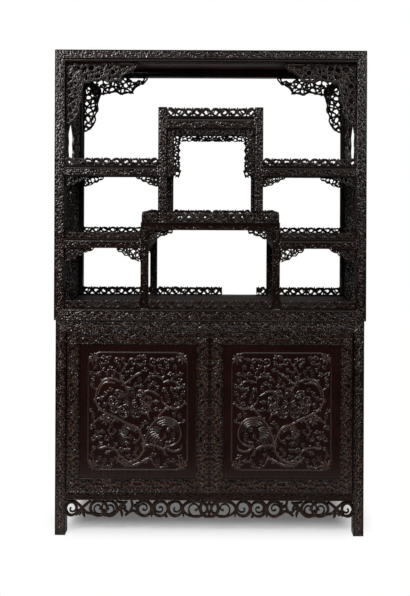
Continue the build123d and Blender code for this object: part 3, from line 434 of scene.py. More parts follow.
# ground, plain and ridge tones; the low pieces' copy has dimmer, browner ridges, as painted shade low down
TONES, SHADED_LOW_TONES = ("0d0604", "170c08", "6c6865"), ("0d0604", "190d07", "54463c")
carved_across = wood("carved_across", 0, TONES)
carved_depthwise = wood("carved_depthwise", 1, TONES)
shaded_low_across = wood("shaded_low_across", 0, SHADED_LOW_TONES, 0.26, 0.22)
shaded_low_depthwise = wood("shaded_low_depthwise", 1, SHADED_LOW_TONES, 0.26, 0.22)


def left_and_right(*parts):
    """Parts on the right, and their mirror images on the left."""
    return [each for part in parts for each in (part, mirrored(part))]


def mitred_rails(half, width, outer_z, inner_z, seed, band=None, posts=True):
    """Front, back and right rails of a frame, mitred to one another and, with posts, to those as well."""
    half_x, half_y = half
    z = tuple(sorted((outer_z, inner_z)))
    hub = 1 if outer_z < inner_z else -1

    def reach(axis):
        def end(section):
            inset = half[1 - axis] - np.abs(section[:, 1 - axis])
            if posts:
                inset = np.maximum(inset, width * np.abs(section[:, 2] - outer_z) / abs(outer_z - inner_z))
            return half[axis] - inset
        return {"start": lambda section: -end(section), "end": end}

    front = bar(0, (-half_x, half_x), (-half_y, -half_y + width), z, ("-y",), (1, hub), seed=seed, band=band,
                **reach(0))
    back = bar(0, (-half_x, half_x), (half_y - width, half_y), z, (), (-1, hub), **reach(0))
    right = bar(1, (half_x - width, half_x), (-half_y, half_y), z, ("+x",), (hub, -1), seed=seed + 1,
                band=band, **reach(1))
    return front, back, right


front, back, right = mitred_rails(CUPBOARD_HALF, LEG, CUPBOARD_TOP_Z[1], CUPBOARD_TOP_Z[0], 5)
piece("cupboard_top_long_rails_carved", [front, back], carved_across)
piece("cupboard_top_side_rails_carved", left_and_right(right), carved_depthwise)

between_x, between_y = ((-half + LEG, half - LEG) for half in CUPBOARD_HALF)
rail_y = (-CUPBOARD_HALF[1] + RAIL_SETBACK, -CUPBOARD_HALF[1] + RAIL_SETBACK + BOTTOM_RAIL_DEPTH)
rail_x = (CUPBOARD_HALF[0] - RAIL_SETBACK - BOTTOM_RAIL_DEPTH, CUPBOARD_HALF[0] - RAIL_SETBACK)
front = bar(0, between_x, rail_y, BOTTOM_RAIL_Z, ("-y",), (1, -1), seed=11)
back = mirrored(bar(0, between_x, rail_y, BOTTOM_RAIL_Z), axis=1)
right = bar(1, rail_x, between_y, BOTTOM_RAIL_Z, ("+x",), (-1, -1), seed=12)
piece("cupboard_bottom_long_rails_carved", [front, back], shaded_low_across)
piece("cupboard_bottom_side_rails_carved", left_and_right(right), shaded_low_depthwise)

# ---- cupboard boards and panels ---------------------------------------------------------------------
# Plain boards float in the grooves of the frames: the top, the floor, the shelf inside, two side panels
# and two back panels on a muntin. They are planed flat and oiled like the rest.


def board_wood(name, grain, tone):
    """Planed wood without carving or polish."""
    return wood(name, grain, (tone,), 0.48, 0.2)


def planed(material, *nodes):
    """Gives CAD nodes that keep their own shape their wood."""
    for node in nodes:
        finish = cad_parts[node]
        if not finish.material_slots:
            finish.data.materials.append(None)
        for each in finish.material_slots:
            each.material = material


plain_across = board_wood("plain_across", 0, "201715")
plain_upright = board_wood("plain_upright", 2, "201715")
planed(plain_across, "cupboard_top_board", "cupboard_floor_board", "inner_shelf", "inner_shelf_frame")
planed(plain_upright, "side_panels", "back_panels", "back_muntin")

# ---- aprons -----------------------------------------------------------------------------------------
# Pierced aprons hang under the bottom rails, sawn from thin board: loops with spirals inside, crossing
# stems and hanging buds. The back one is a plain board with a shallow curve.
APRON_THICKNESS, APRON_SETBACK, APRON_DROP = 12.0, 12.0, 77.0
PIERCED_CELL = 2.2
PIERCED_RELIEF = 3.4                    # depth of the carving on each face of a pierced board
PIERCED_GROUND = 0.3                    # lowest height that the carving leaves on it
SAWN_EDGE = 0.12                        # height at its sawn edges


def oval(x, y, rx, ry, width, lean=0.0):
    """An oval hoop that is thicker on one side."""
    t = np.linspace(0, TAU, max(24, int(7 * max(rx, ry) / STROKE_STEP)))
    return np.column_stack([x + rx * np.cos(t), y + ry * np.sin(t), width * (1.1 + 0.3 * np.cos(t - lean))])


def one_piece(inside):
    """Drops what is not joined to the largest run of wood."""
    wood_here = inside > 0
    left, best = wood_here.copy(), np.zeros_like(wood_here)
    while left.any():
        reached = np.zeros_like(wood_here)
        reached[tuple(np.argwhere(left)[0])] = True
        count = 0
        while reached.sum() != count:
            count = reached.sum()
            for _ in range(8):
                grown = reached.copy()
                grown[1:] |= reached[:-1]
                grown[:-1] |= reached[1:]
                grown[:, 1:] |= reached[:, :-1]
                grown[:, :-1] |= reached[:, 1:]
                reached = grown & wood_here
        left &= ~reached
        if count > best.sum():
            best = reached
    return np.where(wood_here & ~best, -0.5, inside)


def pierced(strokes, u, v, thickness, solid=(), cell=PIERCED_CELL):
    """A closed pierced plate, carved on both faces, in its own u, v and thickness."""
    grid_u, grid_v = (u[0] - cell, u[1] + cell), (v[0] - cell, v[1] + cell)
    height, inside = carve(strokes, grid_u, grid_v, cell, solid)
    rows, columns = inside.shape
    at_u = grid_u[0] + cell * np.arange(columns)[None, :]
    at_v = grid_v[0] + cell * np.arange(rows)[:, None]
    edge = np.minimum(np.minimum(at_u - u[0], u[1] - at_u), np.minimum(at_v - v[0], v[1] - at_v))
    inside = one_piece(np.minimum(inside, edge))
    least = 0.12 * cell
    flat = np.where(inside > 0, np.maximum(inside, least), np.minimum(inside, -least)).ravel()
    total = rows * columns
    position = np.stack(np.broadcast_arrays(at_u, at_v), -1).reshape(-1, 2)
    number = np.arange(total).reshape(rows, columns)
    corners = (number[:-1, :-1], number[:-1, 1:], number[1:, 1:], number[1:, :-1])
    a, b, c, d = (each.ravel() for each in corners)
    triangles = np.vstack([np.stack([a, b, c], -1), np.stack([a, c, d], -1)])

    def crossing(a, b):
        """The number of the point where the outline crosses the edge between two grid points."""
        low, step = np.minimum(a, b), np.abs(a - b)
        return np.where(step == 1, 1, np.where(step == columns, 2, 3)) * total + low

    signs = flat[triangles] > 0
    faces3, faces4, rims = [triangles[signs.all(1)]], [], []
    for turn in range(3):
        a, b, c = np.roll(triangles, -turn, 1).T
        sa, sb, sc = np.roll(signs, -turn, 1).T
        two, one = sa & sb & ~sc, sa & ~sb & ~sc
        faces4.append(np.stack([a[two], b[two], crossing(b[two], c[two]), crossing(c[two], a[two])], -1))
        faces3.append(np.stack([a[one], crossing(a[one], b[one]), crossing(c[one], a[one])], -1))
        rims += [faces4[-1][:, 2:4], faces3[-1][:, 1:3]]
    faces3, faces4, rims = map(np.vstack, (faces3, faces4, rims))
    used = np.unique(np.concatenate([faces3.ravel(), faces4.ravel()]))
    kind, base = used // total, used % total
    other = base + np.choose(kind, [0, 1, columns, columns + 1])
    share = np.where(kind > 0, flat[base] / np.where(kind > 0, flat[base] - flat[other], 1), 0)[:, None]
    where = position[base] * (1 - share) + position[other] * share
    raised = np.where(kind > 0, SAWN_EDGE, np.maximum(height, PIERCED_GROUND).ravel()[base])
    half = thickness / 2 - PIERCED_RELIEF * (1 - raised)
    faces3, faces4, rims = (np.searchsorted(used, each) for each in (faces3, faces4, rims))
    count = len(used)
    walls = np.stack([rims[:, 0], rims[:, 0] + count, rims[:, 1] + count, rims[:, 1]], -1)
    # the colour's relief is 0.93 of the height, which dims the painted ridge highlight, and the sawn edges
    # take the dark ground's painted shade
    return {"points": np.vstack([np.column_stack([where, half]), np.column_stack([where, -half])]),
            "quads": np.vstack([faces4, faces4[:, ::-1] + count, walls]),
            "tris": np.vstack([faces3, faces3[:, ::-1] + count]), "relief": np.tile(0.93 * raised, 2)}


def facing_front(part, y, x=0.0, z=0.0):
    """A plate stood across the cabinet, its carved face to the front, between two depths."""
    p = part["points"]
    return {**part, "points": np.column_stack([p[:, 0] + x, sum(y) / 2 - p[:, 2], p[:, 1] + z])}


def facing_right(part, x, z=0.0):
    """A plate stood front to back, its carved face to the right."""
    p = part["points"]
    return {**part, "points": np.column_stack([sum(x) / 2 + p[:, 2], p[:, 0], p[:, 1] + z])}


def hung_chain(length):
    """Loops with spirals grown from them, crossing stems and hanging buds, under a thin strip.

    Places are measured from the apron's end, and stems' widths are shares of the loops' width.
    """
    end = length / 2
    w, fine = 4.7, 3.9
    loops = ((22, -42, 23, 27, 0, 4.6), (134, -40, 34, 31, 1.2, 6.6), (178, -40, 31, 30, 4, -6.6),
             (320, -40, 31, 31, 2.6, 7), (386, -40, 30, 31, 0.4, -7.4), (449, -40, 29, 30, 0, 4.4),
             (530, -40, 50, 32, 1.6, 7))
    stems = (((42, -66, 1), (58, -46, 1.2), (76, -30, 1.2), (100, -10, 1)),
             ((40, -14, 1), (62, -34, 1), (82, -56, 1), (104, -62, 1)),
             ((204, -60, 1), (222, -38, 1.3), (246, -14, 1)),
             ((246, -66, 1), (262, -54, 1), (278, -50, 1), (296, -62, 1)),
             ((262, -54, 1), (272, -30, 1.1), (268, -6, 1)), ((344, -20, 1), (354, -40, 1.2), (364, -60, 1)),
             ((end, -12, 1), (end - 9, -36, 1), (end, -62, 1)))
    curls = ((54, -62, 10, 1, 5, 3), (228, -38, 17, 3.4, -6, fine), (284, -28, 12, 2, 5, fine))
    leaves = ((2, -8, 40, -10, 3, 4.2), (68, -42, 78, -76, 2, 6), (156, -44, 158, -74, 1, 4.6),
              (222, -46, 230, -75, -3, 5.4), (206, -10, 252, -14, 4, 5), (236, -40, 262, -56, 4, 4.6),
              (352, -56, 352, -74, 0, 4.6), (406, -58, 416, -77, 2, 6), (422, -14, 418, -54, 3, 4.4),
              (480, -50, 484, -74, 1, 4), (506, -8, 560, -5, 1, 5), (end - 4, -68, end - 1, -77, 0, 5))
    strokes = [line((0, -2.4, 2.6), (end, -2.4, 2.6)), oval(0, -39, 37, 35, w, 0)]
    for x, y, rx, ry, lean, turn in loops:
        strokes += [oval(end - x, y, rx, ry, w, lean),
                    curl(end - x, y, 0.5 * (rx + ry), lean + 2, turn, fine, 0.16)]
    strokes += [line(*[(end - x, y, share * w) for x, y, share in stem]) for stem in stems]
    strokes += [curl(end - x, *rest) for x, *rest in curls]
    strokes += [leaf(end - x0, y0, end - x1, *rest) for x0, y0, x1, *rest in leaves]
    return both_ways(strokes, end)


def short_chain(length):
    """The chain of a short apron: ovals with spirals and buds."""
    strokes = [line((0, -2.4, 2.6), (length / 2, -2.4, 2.6)), oval(0, -38, 30, 33, 4, 1),
               curl(0, -38, 30, 1, 7, 3.2), line((118, -20, 4), (132, -44, 4.6), (146, -66, 4))]
    for k, x in enumerate((50, 100)):
        strokes += [oval(x, -40, 32, 31, 4, k), curl(x, -40, 31, k, 7, 3.2, 0.15),
                    leaf(x + 24, -50, x + 26, -75, 1, 5)]
    return both_ways(strokes, length / 2)


apron_y = (-CUPBOARD_HALF[1] + APRON_SETBACK, -CUPBOARD_HALF[1] + APRON_SETBACK + APRON_THICKNESS)
apron_x = (CUPBOARD_HALF[0] - APRON_SETBACK - APRON_THICKNESS, CUPBOARD_HALF[0] - APRON_SETBACK)
front = pierced(hung_chain(between_x[1] - between_x[0]), between_x, (-APRON_DROP, 0), APRON_THICKNESS)
piece("front_apron_pierced", [facing_front(front, apron_y, z=BOTTOM_RAIL_Z[0])], shaded_low_across)
side = pierced(short_chain(between_y[1] - between_y[0]), between_y, (-APRON_DROP, 0), APRON_THICKNESS)
piece("side_aprons_pierced", left_and_right(facing_right(side, apron_x, z=BOTTOM_RAIL_Z[0])), shaded_low_depthwise)
planed(plain_across, "back_apron")

# ---- doors ------------------------------------------------------------------------------------------
# Each door is a frame of two stiles and two rails, carved with the running scroll, round a reddish panel
# that carries a flowering spray inside thin raised lines. It turns on two wooden pins of its outer stile.
DOOR_X, DOOR_Y, DOOR_Z = (0.75, 586.5), (-185.0, -161.0), (175.5, 829.5)
STILE, DOOR_TOP_RAIL, DOOR_BOTTOM_RAIL = 55.0, 50.0, 55.0
HINGE_EDGE_RADIUS = 6.0
PIVOT, PIN_RADIUS, PIN_ARRIS = (576.5, -176.0), 5.0, 0.6
PIN_Z, PIN_SIDES = ((162.0, 175.6), (829.4, 843.0)), 24
PANEL_Y = (-181.0, -169.0)
PANEL_RELIEF = 3.2
PANEL_CELL = 1.75
FIELD_MARGIN, OPEN_CORNER = 33, 48      # from the panel's edge to its raised lines, and their open corners

opening_x = (DOOR_X[0] + STILE, DOOR_X[1] - STILE)
opening_z = (DOOR_Z[0] + DOOR_BOTTOM_RAIL, DOOR_Z[1] - DOOR_TOP_RAIL)
meeting_stile = bar(2, (DOOR_X[0], opening_x[0]), DOOR_Y, DOOR_Z, ("-y",), seed=21, pitch=2.4)
hinge_stile = bar(2, (opening_x[1], DOOR_X[1]), DOOR_Y, DOOR_Z, ("-y",), (-1, 1), seed=21, pitch=2.4,
                  corners=(ARRIS, ARRIS, ARRIS, HINGE_EDGE_RADIUS))
door_rails = [bar(0, opening_x, DOOR_Y, z, ("-y",), (1, -1), seed=22)
              for z in ((DOOR_Z[0], opening_z[0]), (opening_z[1], DOOR_Z[1]))]


def pin(z):
    """A turned wooden pin on the door's pivot, with softened ends."""
    turn = TAU * np.arange(PIN_SIDES) / PIN_SIDES
    thin = PIN_RADIUS - PIN_ARRIS
    rings = ((z[0], thin), (z[0] + PIN_ARRIS, PIN_RADIUS), (z[1] - PIN_ARRIS, PIN_RADIUS), (z[1], thin))
    points = np.vstack([np.column_stack([PIVOT[0] + r * np.cos(turn), PIVOT[1] + r * np.sin(turn),
                                         np.full(PIN_SIDES, height)]) for height, r in rings])
    fan = np.array([(0, k, k + 1) for k in range(1, PIN_SIDES - 1)])
    return {"points": points, "quads": tube_faces(len(rings), PIN_SIDES),
            "tris": np.vstack([fan[:, ::-1], fan + (len(rings) - 1) * PIN_SIDES]),
            "relief": np.full(len(points), PLAIN_RELIEF)}


def fan_of(x, y, lean, spread, count, inner, outer, width, sweep=0.0):
    """Leaves that stand out round a point."""
    return [leaf(*off(x, y, inner, a), *off(x, y, outer, a + sweep), sweep * 5, width)
            for a in lean + spread * (np.arange(count) / max(1, count - 1) - 0.5)]


def feather_scroll(x, y, radius, start, turn, width):
    """A scrolling leaf: an open rib with a curled tip, lines that follow it, and feathers at its root."""
    sign = 1 if turn > 0 else -1
    rib = curl(x, y, radius, start, turn, width, inner=0.66, tip=0.8)
    strokes = [rib, curl(rib[-1, 0] + 0.12 * radius, rib[-1, 1] + 0.14 * radius, 0.17 * radius, -2.4,
                         sign * 4.6, 0.8 * width)]
    t = np.linspace(0, 1, int(2.4 * radius / STROKE_STEP))
    for k in range(1, 5):
        angle = start + sign * 0.20 * k + turn * (0.66 - 0.07 * k) * t
        reach = radius * (1 - 0.12 * k) * (1 - 0.12 * t)
        strokes.append(np.column_stack([x + reach * np.cos(angle), y + reach * np.sin(angle),
                                        0.72 * width * np.sin(np.pi * (0.12 + 0.8 * t))]))
    for k in range(7):
        a = start + sign * (0.20 * k - 0.75)
        strokes.append(leaf(*off(x, y, 0.42 * radius, a), *off(x, y, 1.10 * radius, a - 0.42 * sign),
                            0.10 * radius * sign, 0.8 * width))
    return strokes


def peony(x, y, radius):
    """An open flower seen from the side: rows of curled petals over a spray of stamens."""
    made = fan_of(x, y - 0.04 * radius, math.pi / 2, 5.4, 13, 0.06 * radius, 0.34 * radius, 2.0)
    for row, (count, reach, size) in enumerate(((9, 0.86, 0.24), (7, 0.58, 0.20))):
        for k in range(count):
            a = TAU * (k + 0.5 * row) / count + 0.2
            u, v = x + reach * radius * math.cos(a), y + 0.60 * reach * radius * math.sin(a)
            made += [curl(u, v, size * radius, a - 1.9, 3.9, 2.6, inner=0.85, tip=0.8),
                     curl(u, v, 0.55 * size * radius, a + 1.2, -3.0, 1.8, inner=0.7)]
            for lean in (-0.5, 0.0, 0.5):
                made.append(leaf(u, v, *off(u, v, 0.8 * size * radius, a + lean), 0, 1.7))
    return made


def leafy(stem, size, seed, spacing=21, width=2.6):
    """Leaves that stand out from a stem on alternate sides and lean towards its tip."""
    rng = np.random.default_rng(seed)
    run = np.concatenate([[0], np.hypot(*np.diff(stem[:, :2], axis=0).T).cumsum()])
    made = []
    for k, at in enumerate(np.arange(0.5 * spacing, run[-1] - 3, spacing)):
        i = min(int(np.searchsorted(run, at)), len(stem) - 2)
        (x, y), (dx, dy) = stem[i, :2], stem[i + 1, :2] - stem[i, :2]
        side = 1 if k % 2 else -1
        reach = size * rng.uniform(0.75, 1.15)
        a = math.atan2(dy, dx) + side * rng.uniform(0.6, 1.0)
        made.append(leaf(x, y, *off(x, y, reach, a), -3 * side, width))
        if k % 3 == 1:
            made.append(curl(*off(x, y, 0.6 * reach, a), 0.42 * reach, a - side, side * 4.6, 0.7 * width))
    return made


def filling(strokes, half, notch, clearance, seed):
    """Sprigs in the free parts of the field, each on a stalk from the nearest stroke."""
    rng = np.random.default_rng(seed)
    points = np.vstack(strokes)[::4]
    made = []
    for y in np.arange(-half[1], half[1], 8):
        for x in np.arange(-half[0], half[0], 8):
            u, v = x + rng.uniform(0, 7), y + rng.uniform(0, 7)
            beyond = (abs(u) - half[0], abs(v) - half[1])
            if max(beyond) > 0 or min(beyond) > -notch:
                continue
            away = np.hypot(points[:, 0] - u, points[:, 1] - v) - points[:, 2]
            near = int(away.argmin())
            if away[near] < clearance:
                continue
            x0, y0 = points[near, :2]
            a = math.atan2(v - y0, u - x0)
            bend = rng.choice((-1, 1))
            bow = ((x0 + u) / 2 - bend * 3 * math.sin(a), (y0 + v) / 2 + bend * 3 * math.cos(a))
            sprig = [line((x0, y0, 2.0), (*bow, 2.4), (u, v, 2.2)),
                     curl(u, v, 8.5, a + bend * 1.6, bend * 4.0, 2.0, inner=0.45),
                     leaf(u, v, *off(u, v, 12, a + 0.5 * bend), 2 * bend, 2.4)]
            made += sprig
            points = np.vstack([points, *[each[::4] for each in sprig]])
    return made


def corner_spray(x, y, lean):
    """Leaves that stand out round a point in a corner of the field, and two curls."""
    made = fan_of(x, y, lean, 2.4, 4, 3, 26, 4.2, 0.25)
    made += fan_of(x, y, lean + math.pi, 1.8, 3, 3, 18, 3.8, -0.2)
    return made + [curl(*off(x, y, 17, lean + a), 8, lean + a + 2.6, 4.6, 3.0) for a in (-1.75, 1.75)]


def flowering_spray():
    """A peony on winding stems that rise from a root at the foot of the left door's panel."""
    stems = {
        "root": ((-92, -186, 2.4), (-74, -204, 4.4), (-40, -210, 5.4), (-6, -196, 5.2), (20, -166, 5.0),
                 (26, -132, 4.6), (16, -92, 4.4), (-10, -64, 4.2), (-44, -50, 4.0)),
        "left": ((-44, -50, 4.0), (-84, -28, 4.4), (-124, -10, 4.4), (-156, 12, 4.2), (-171, 48, 4.0),
                 (-166, 88, 4.0), (-142, 124, 4.8), (-104, 134, 4.6), (-72, 122, 3.0)),
        "inner left": ((-164, 70, 3.0), (-150, 104, 3.4), (-126, 118, 3.2), (-96, 116, 2.6)),
        "right": ((24, -146, 4.2), (34, -108, 4.2), (50, -66, 4.2), (78, -26, 4.2), (104, 2, 4.0),
                  (124, 15, 4.2), (156, 12, 4.4), (178, 22, 4.0), (192, 40, 2.6)),
        "smile": ((97, 56, 2.4), (104, 36, 3.4), (124, 17, 4.0)),
        "crown": ((-38, 80, 3.4), (-56, 112, 3.6), (-72, 142, 3.6), (-60, 176, 3.6), (-40, 196, 3.4)),
        "branch": ((-54, 112, 2.6), (-30, 130, 3.0), (-4, 152, 3.0), (14, 158, 2.2)),
        "high branch": ((26, 120, 2.2), (44, 140, 2.8), (66, 158, 3.0), (70, 182, 2.8)),
        "twig": ((44, 140, 2.2), (74, 146, 2.8), (96, 138, 2.4), (112, 146, 2.0)),
        "low twig": ((104, 118, 2.0), (126, 126, 2.6), (150, 122, 2.6), (170, 106, 2.0)),
        "foot": ((26, -142, 3.2), (54, -136, 3.8), (84, -142, 3.6), (108, -160, 3.0), (124, -180, 2.2)),
        "boat": ((-66, -216, 2.0), (-24, -222, 4.2), (14, -208, 4.4), (46, -192, 4.0), (62, -202, 3.0),
                 (66, -216, 2.0)),
        "low left": ((-40, -206, 3.0), (-66, -186, 3.4), (-92, -156, 3.4), (-128, -146, 3.2),
                     (-158, -152, 2.4)),
        "side": ((-84, -28, 3.0), (-108, -50, 3.2), (-116, -80, 3.2), (-104, -108, 2.8)),
        "far side": ((-128, -10, 2.8), (-160, -30, 3.0), (-184, -52, 2.8)),
        "hook": ((179, -140, 3.0), (172, -156, 4.0), (150, -162, 4.4), (128, -156, 4.0), (114, -140, 3.0)),
        "petal": ((12, 66, 2.6), (34, 82, 3.8), (56, 82, 3.8), (88, 64, 2.2)),
        "cup": ((22, 26, 3.0), (44, 26, 3.6), (58, 2, 2.4)),
        "low cup": ((16, -6, 3.0), (40, -12, 3.4), (50, -34, 2.4))}
    leaf_sizes = {"root": 17, "left": 17, "right": 16, "crown": 15, "branch": 14, "high branch": 15,
                  "twig": 15, "low twig": 14, "foot": 17, "low left": 17, "side": 14, "far side": 13,
                  "boat": 15}
    curls = ((-20, 200, 19, 3.1, -6.2), (62, 204, 19, -1.7, -6.2), (-88, 206, 13, 0.4, 5),
             (112, 204, 14, 2.4, -5.2), (-188, -68, 14, 0.2, 5.2), (-184, -112, 13, 1.0, -5.2),
             (-122, -112, 13, 2.0, 5.0), (-66, -160, 13, 3.0, -5.4), (-60, 136, 12, 3.6, -5),
             (112, 86, 12, 3.4, -5))
    drawn = {name: line(*points) for name, points in stems.items()}
    strokes = list(drawn.values())
    for seed, (name, size) in enumerate(leaf_sizes.items()):
        strokes += leafy(drawn[name], size, seed)
    strokes += feather_scroll(118, -92, 76, 2.9, -4.5, 3.6) + feather_scroll(-26, -98, 48, 2.8, -4.0, 3.2)
    strokes += [curl(*each, 3.2) for each in curls]
    strokes += fan_of(-131, -34, 0, 5.4, 7, 4, 22, 4.4, 0.3)
    strokes += peony(-32, 34, 84)
    for side, end in ((-1, 1), (1, 1), (-1, -1), (1, -1)):
        strokes += corner_spray(side * 183, end * 219, math.atan2(-end, -side))
    strokes += filling(strokes, (190, 226), 36, 14.5, 7)
    return [stroke * [1, 1, 0.84] for stroke in strokes]


def hooked_lines(half_u, half_v, gap, width):
    """A thin raised line along each side of the field, hooked inwards at both ends, with open corners."""
    strokes = []
    for a, b, upright in ((half_u, half_v, False), (half_v, half_u, True)):
        for side in (-1, 1):
            level, end = side * (b - width), a - gap
            runs = [[(-end, level), (end, level)]]
            for s in (-1, 1):
                runs.append([(s * end, level), (s * (end + 8), level - side * 2.5),
                             (s * (end + 14), level - side * 10)])
            strokes += [line(*[(*(p[::-1] if upright else p), width) for p in run]) for run in runs]
    return strokes


def relief_panel(height, u, v, y):
    """A closed board with its carved face to the front, and a flat back."""
    rows, columns = height.shape
    at_u, at_v = np.linspace(*u, columns), np.linspace(*v, rows)
    face = np.stack(np.broadcast_arrays(at_u[None, :], y[0] - PANEL_RELIEF * height, at_v[:, None]), -1)
    face = face.reshape(-1, 3)
    number = np.arange(rows * columns).reshape(rows, columns)
    quads = np.stack([number[:-1, :-1], number[:-1, 1:], number[1:, 1:], number[1:, :-1]], -1).reshape(-1, 4)
    rim = np.concatenate([number[0, :-1], number[:-1, -1], number[-1, :0:-1], number[:0:-1, 0]])
    back = face[rim].copy()
    back[:, 1] = y[1]
    middle = [sum(u) / 2, y[1], sum(v) / 2]
    behind = len(face) + np.arange(len(rim))
    following = np.roll(behind, -1)
    walls = np.stack([rim, behind, following, np.roll(rim, -1)], -1)
    cap = np.stack([np.full(len(rim), len(face) + len(rim)), following, behind], -1)
    return {"points": np.vstack([face, back, middle]), "quads": np.vstack([quads, walls]), "tris": cap,
            "relief": np.concatenate([height.ravel(), np.zeros(len(rim) + 1)])}


field = [(high - low) / 2 for low, high in (opening_x, opening_z)]
strokes = flowering_spray()
strokes += hooked_lines(field[0] - FIELD_MARGIN, field[1] - FIELD_MARGIN, OPEN_CORNER, 2.0)
raised, _ = carve(strokes, (-field[0], field[0]), (-field[1], field[1]), PANEL_CELL)
left_panel = relief_panel(raised, (-opening_x[1], -opening_x[0]), opening_z, PANEL_Y)

# the ridge tones are painted highlights, dimmer on the door frames than on the other carved rails
panel_wood = wood("panel_wood_carved", 2, ("1a0a08", "1c0b08", "5c5350"), 0.24)
DOOR_TONES = ("0d0604", "150a06", "51463f")
stile_wood = wood("door_stile_carved", 2, DOOR_TONES, 0.22)
rail_wood = wood("door_rail_carved", 0, DOOR_TONES, 0.22, 0.38)
right_door = (("meeting_stile", [meeting_stile], stile_wood, "frame_wood"),
              ("hinge_stile", [hinge_stile, *map(pin, PIN_Z)], stile_wood, "frame_wood"),
              ("rails", door_rails, rail_wood, "frame_wood"),
              ("panel", [mirrored(left_panel)], panel_wood, "panel_wood"))
for side, flip in (("right", lambda part: part), ("left", mirrored)):
    for name, parts, material, slot in right_door:
        piece(f"{side}_door_{name}_carved", [flip(part) for part in parts], material, f"{side}_door")

# ---- outer frame of the stand -----------------------------------------------------------------------
# The stand is a second frame that rests on the cupboard: four carved posts, mitred at foot and head to
# a base frame and a top frame, each round a plain board. The top frame's scroll runs above a plain band.
STAND_HALF = (636.0, 193.0)
POST = 40.0
BASE_Z, TOP_Z = (877.5, 923.5), (1930.0, 1980.0)
uprights("post", 31, start=BASE_Z[::-1], end=TOP_Z)
for name, heights, band in (("base", BASE_Z, (-19.0, 15.0)), ("top", TOP_Z[::-1], (-6.0, 21.5))):
    front, back, right = mitred_rails(STAND_HALF, POST, *heights, 41, band)
    piece(f"stand_{name}_rails_carved", [front, back, *left_and_right(right)], carved_across)
planed(plain_across, "stand_base_board")
# the top board is paler than the other boards, which lightens its shaded underside: painted light
planed(board_wood("plain_top", 0, "4a332b"), "stand_top_board")

# ---- inner posts and shelves ------------------------------------------------------------------------
# Two low posts and two raised posts, front and back, carry the stepped shelves. The rails are carved on
# their outward faces below a plain band, and the boards lie in grooves, flush with the rails' tops.
RAIL_FACE, RAIL_DEPTH, MIDDLE_BAR = 191.0, 30.0, 34.0
CENTRE_OUTER, CENTRE_INNER = 284.0, 254.0
RAISED_OUTER, RAISED_INNER = 214.0, 180.0
POST_INNER_X, POST_INNER_Y = (half - POST for half in STAND_HALF)
LOWER_Z, MIDDLE_Z, UPPER_Z, RAISED_Z = (1172.0, 1211.5), (1246.0, 1278.0), (1468.0, 1510.0), (1662.0, 1710.0)
RAISED_POST_TOP = 1748.0

for name, x, z in (("centre", (CENTRE_INNER, CENTRE_OUTER), (BASE_Z[1], MIDDLE_Z[0])),
                   ("raised", (RAISED_INNER, RAISED_OUTER), (MIDDLE_Z[1], RAISED_POST_TOP))):
    width = x[1] - x[0]
    posts = [bar(2, x, y, z, ("-y",), seed=51, pitch=POST_PITCH)
             for y in ((-RAIL_FACE, -RAIL_FACE + width), (RAIL_FACE - width, RAIL_FACE))]
    piece(f"{name}_posts_carved", left_and_right(*posts), carved_upright)


def rail_band(z):
    """The carved lower part of a shelf rail's face."""
    half = (z[1] - z[0]) / 2
    return -half + 3.5, 0.25 * half


def tenoned_rails(x, z, side_x, side_end, seed):
    """Front and back rails between posts, and a right-hand rail that runs front to back."""
    y = (-RAIL_FACE, -RAIL_FACE + RAIL_DEPTH)
    front = bar(0, x, y, z, ("-y",), (1, -1), seed=seed, band=rail_band(z))
    back = mirrored(bar(0, x, y, z), axis=1)
    right = bar(1, side_x, (-side_end, side_end), z, ("+x",), (-1, -1), seed=seed + 1, band=rail_band(z))
    return front, back, right


outer_x = (STAND_HALF[0] - RAIL_SETBACK - RAIL_DEPTH, STAND_HALF[0] - RAIL_SETBACK)
for name, inner, z, post in (("lower", CENTRE_OUTER, LOWER_Z, CENTRE_OUTER - CENTRE_INNER),
                             ("upper", RAISED_OUTER, UPPER_Z, RAISED_OUTER - RAISED_INNER)):
    end = RAIL_FACE - post
    rails = tenoned_rails((inner, POST_INNER_X), z, outer_x, POST_INNER_Y, 61)
    inner_rail = bar(1, (inner - RAIL_DEPTH, inner), (-end, end), z)
    piece(f"{name}_shelf_rails_carved", left_and_right(*rails, inner_rail), carved_across)

front, back, right = mitred_rails((CENTRE_OUTER, RAIL_FACE), MIDDLE_BAR, *MIDDLE_Z[::-1], 63,
                                  rail_band(MIDDLE_Z), posts=False)
piece("middle_shelf_rails_carved", [front, back, *left_and_right(right)], carved_across)

raised_end = RAIL_FACE - (RAISED_OUTER - RAISED_INNER)
front, back, right = tenoned_rails((-RAISED_INNER, RAISED_INNER), RAISED_Z,
                                   (RAISED_OUTER - RAIL_DEPTH, RAISED_OUTER), raised_end, 65)
piece("raised_shelf_rails_carved", [front, back, *left_and_right(right)], carved_across)
planed(plain_across, "middle_shelf_board", "raised_shelf_board", "side_shelf_boards")

# ---- galleries --------------------------------------------------------------------------------------
# Low fences of thin board stand on the edges of every shelf: uneven ovals in a net of stems, sawn right
# through and carved on both faces. The back one in the middle of the base has lost a long stretch.
GALLERY_Y = (-188.0, -179.0)
GALLERY_THICKNESS = GALLERY_Y[1] - GALLERY_Y[0]
GALLERY_FOOT = {"base": BASE_Z[1], "lower": LOWER_Z[1], "middle": MIDDLE_Z[1], "upper": UPPER_Z[1],
                "raised": RAISED_Z[1]}
GALLERY_HEIGHT = {"base": 38.5, "lower": 27.5, "middle": 42.0, "upper": 32.0, "raised": 38.0}
LOST_STRETCH = (49.0, 207.0)
FENCE_PITCH = 36.0


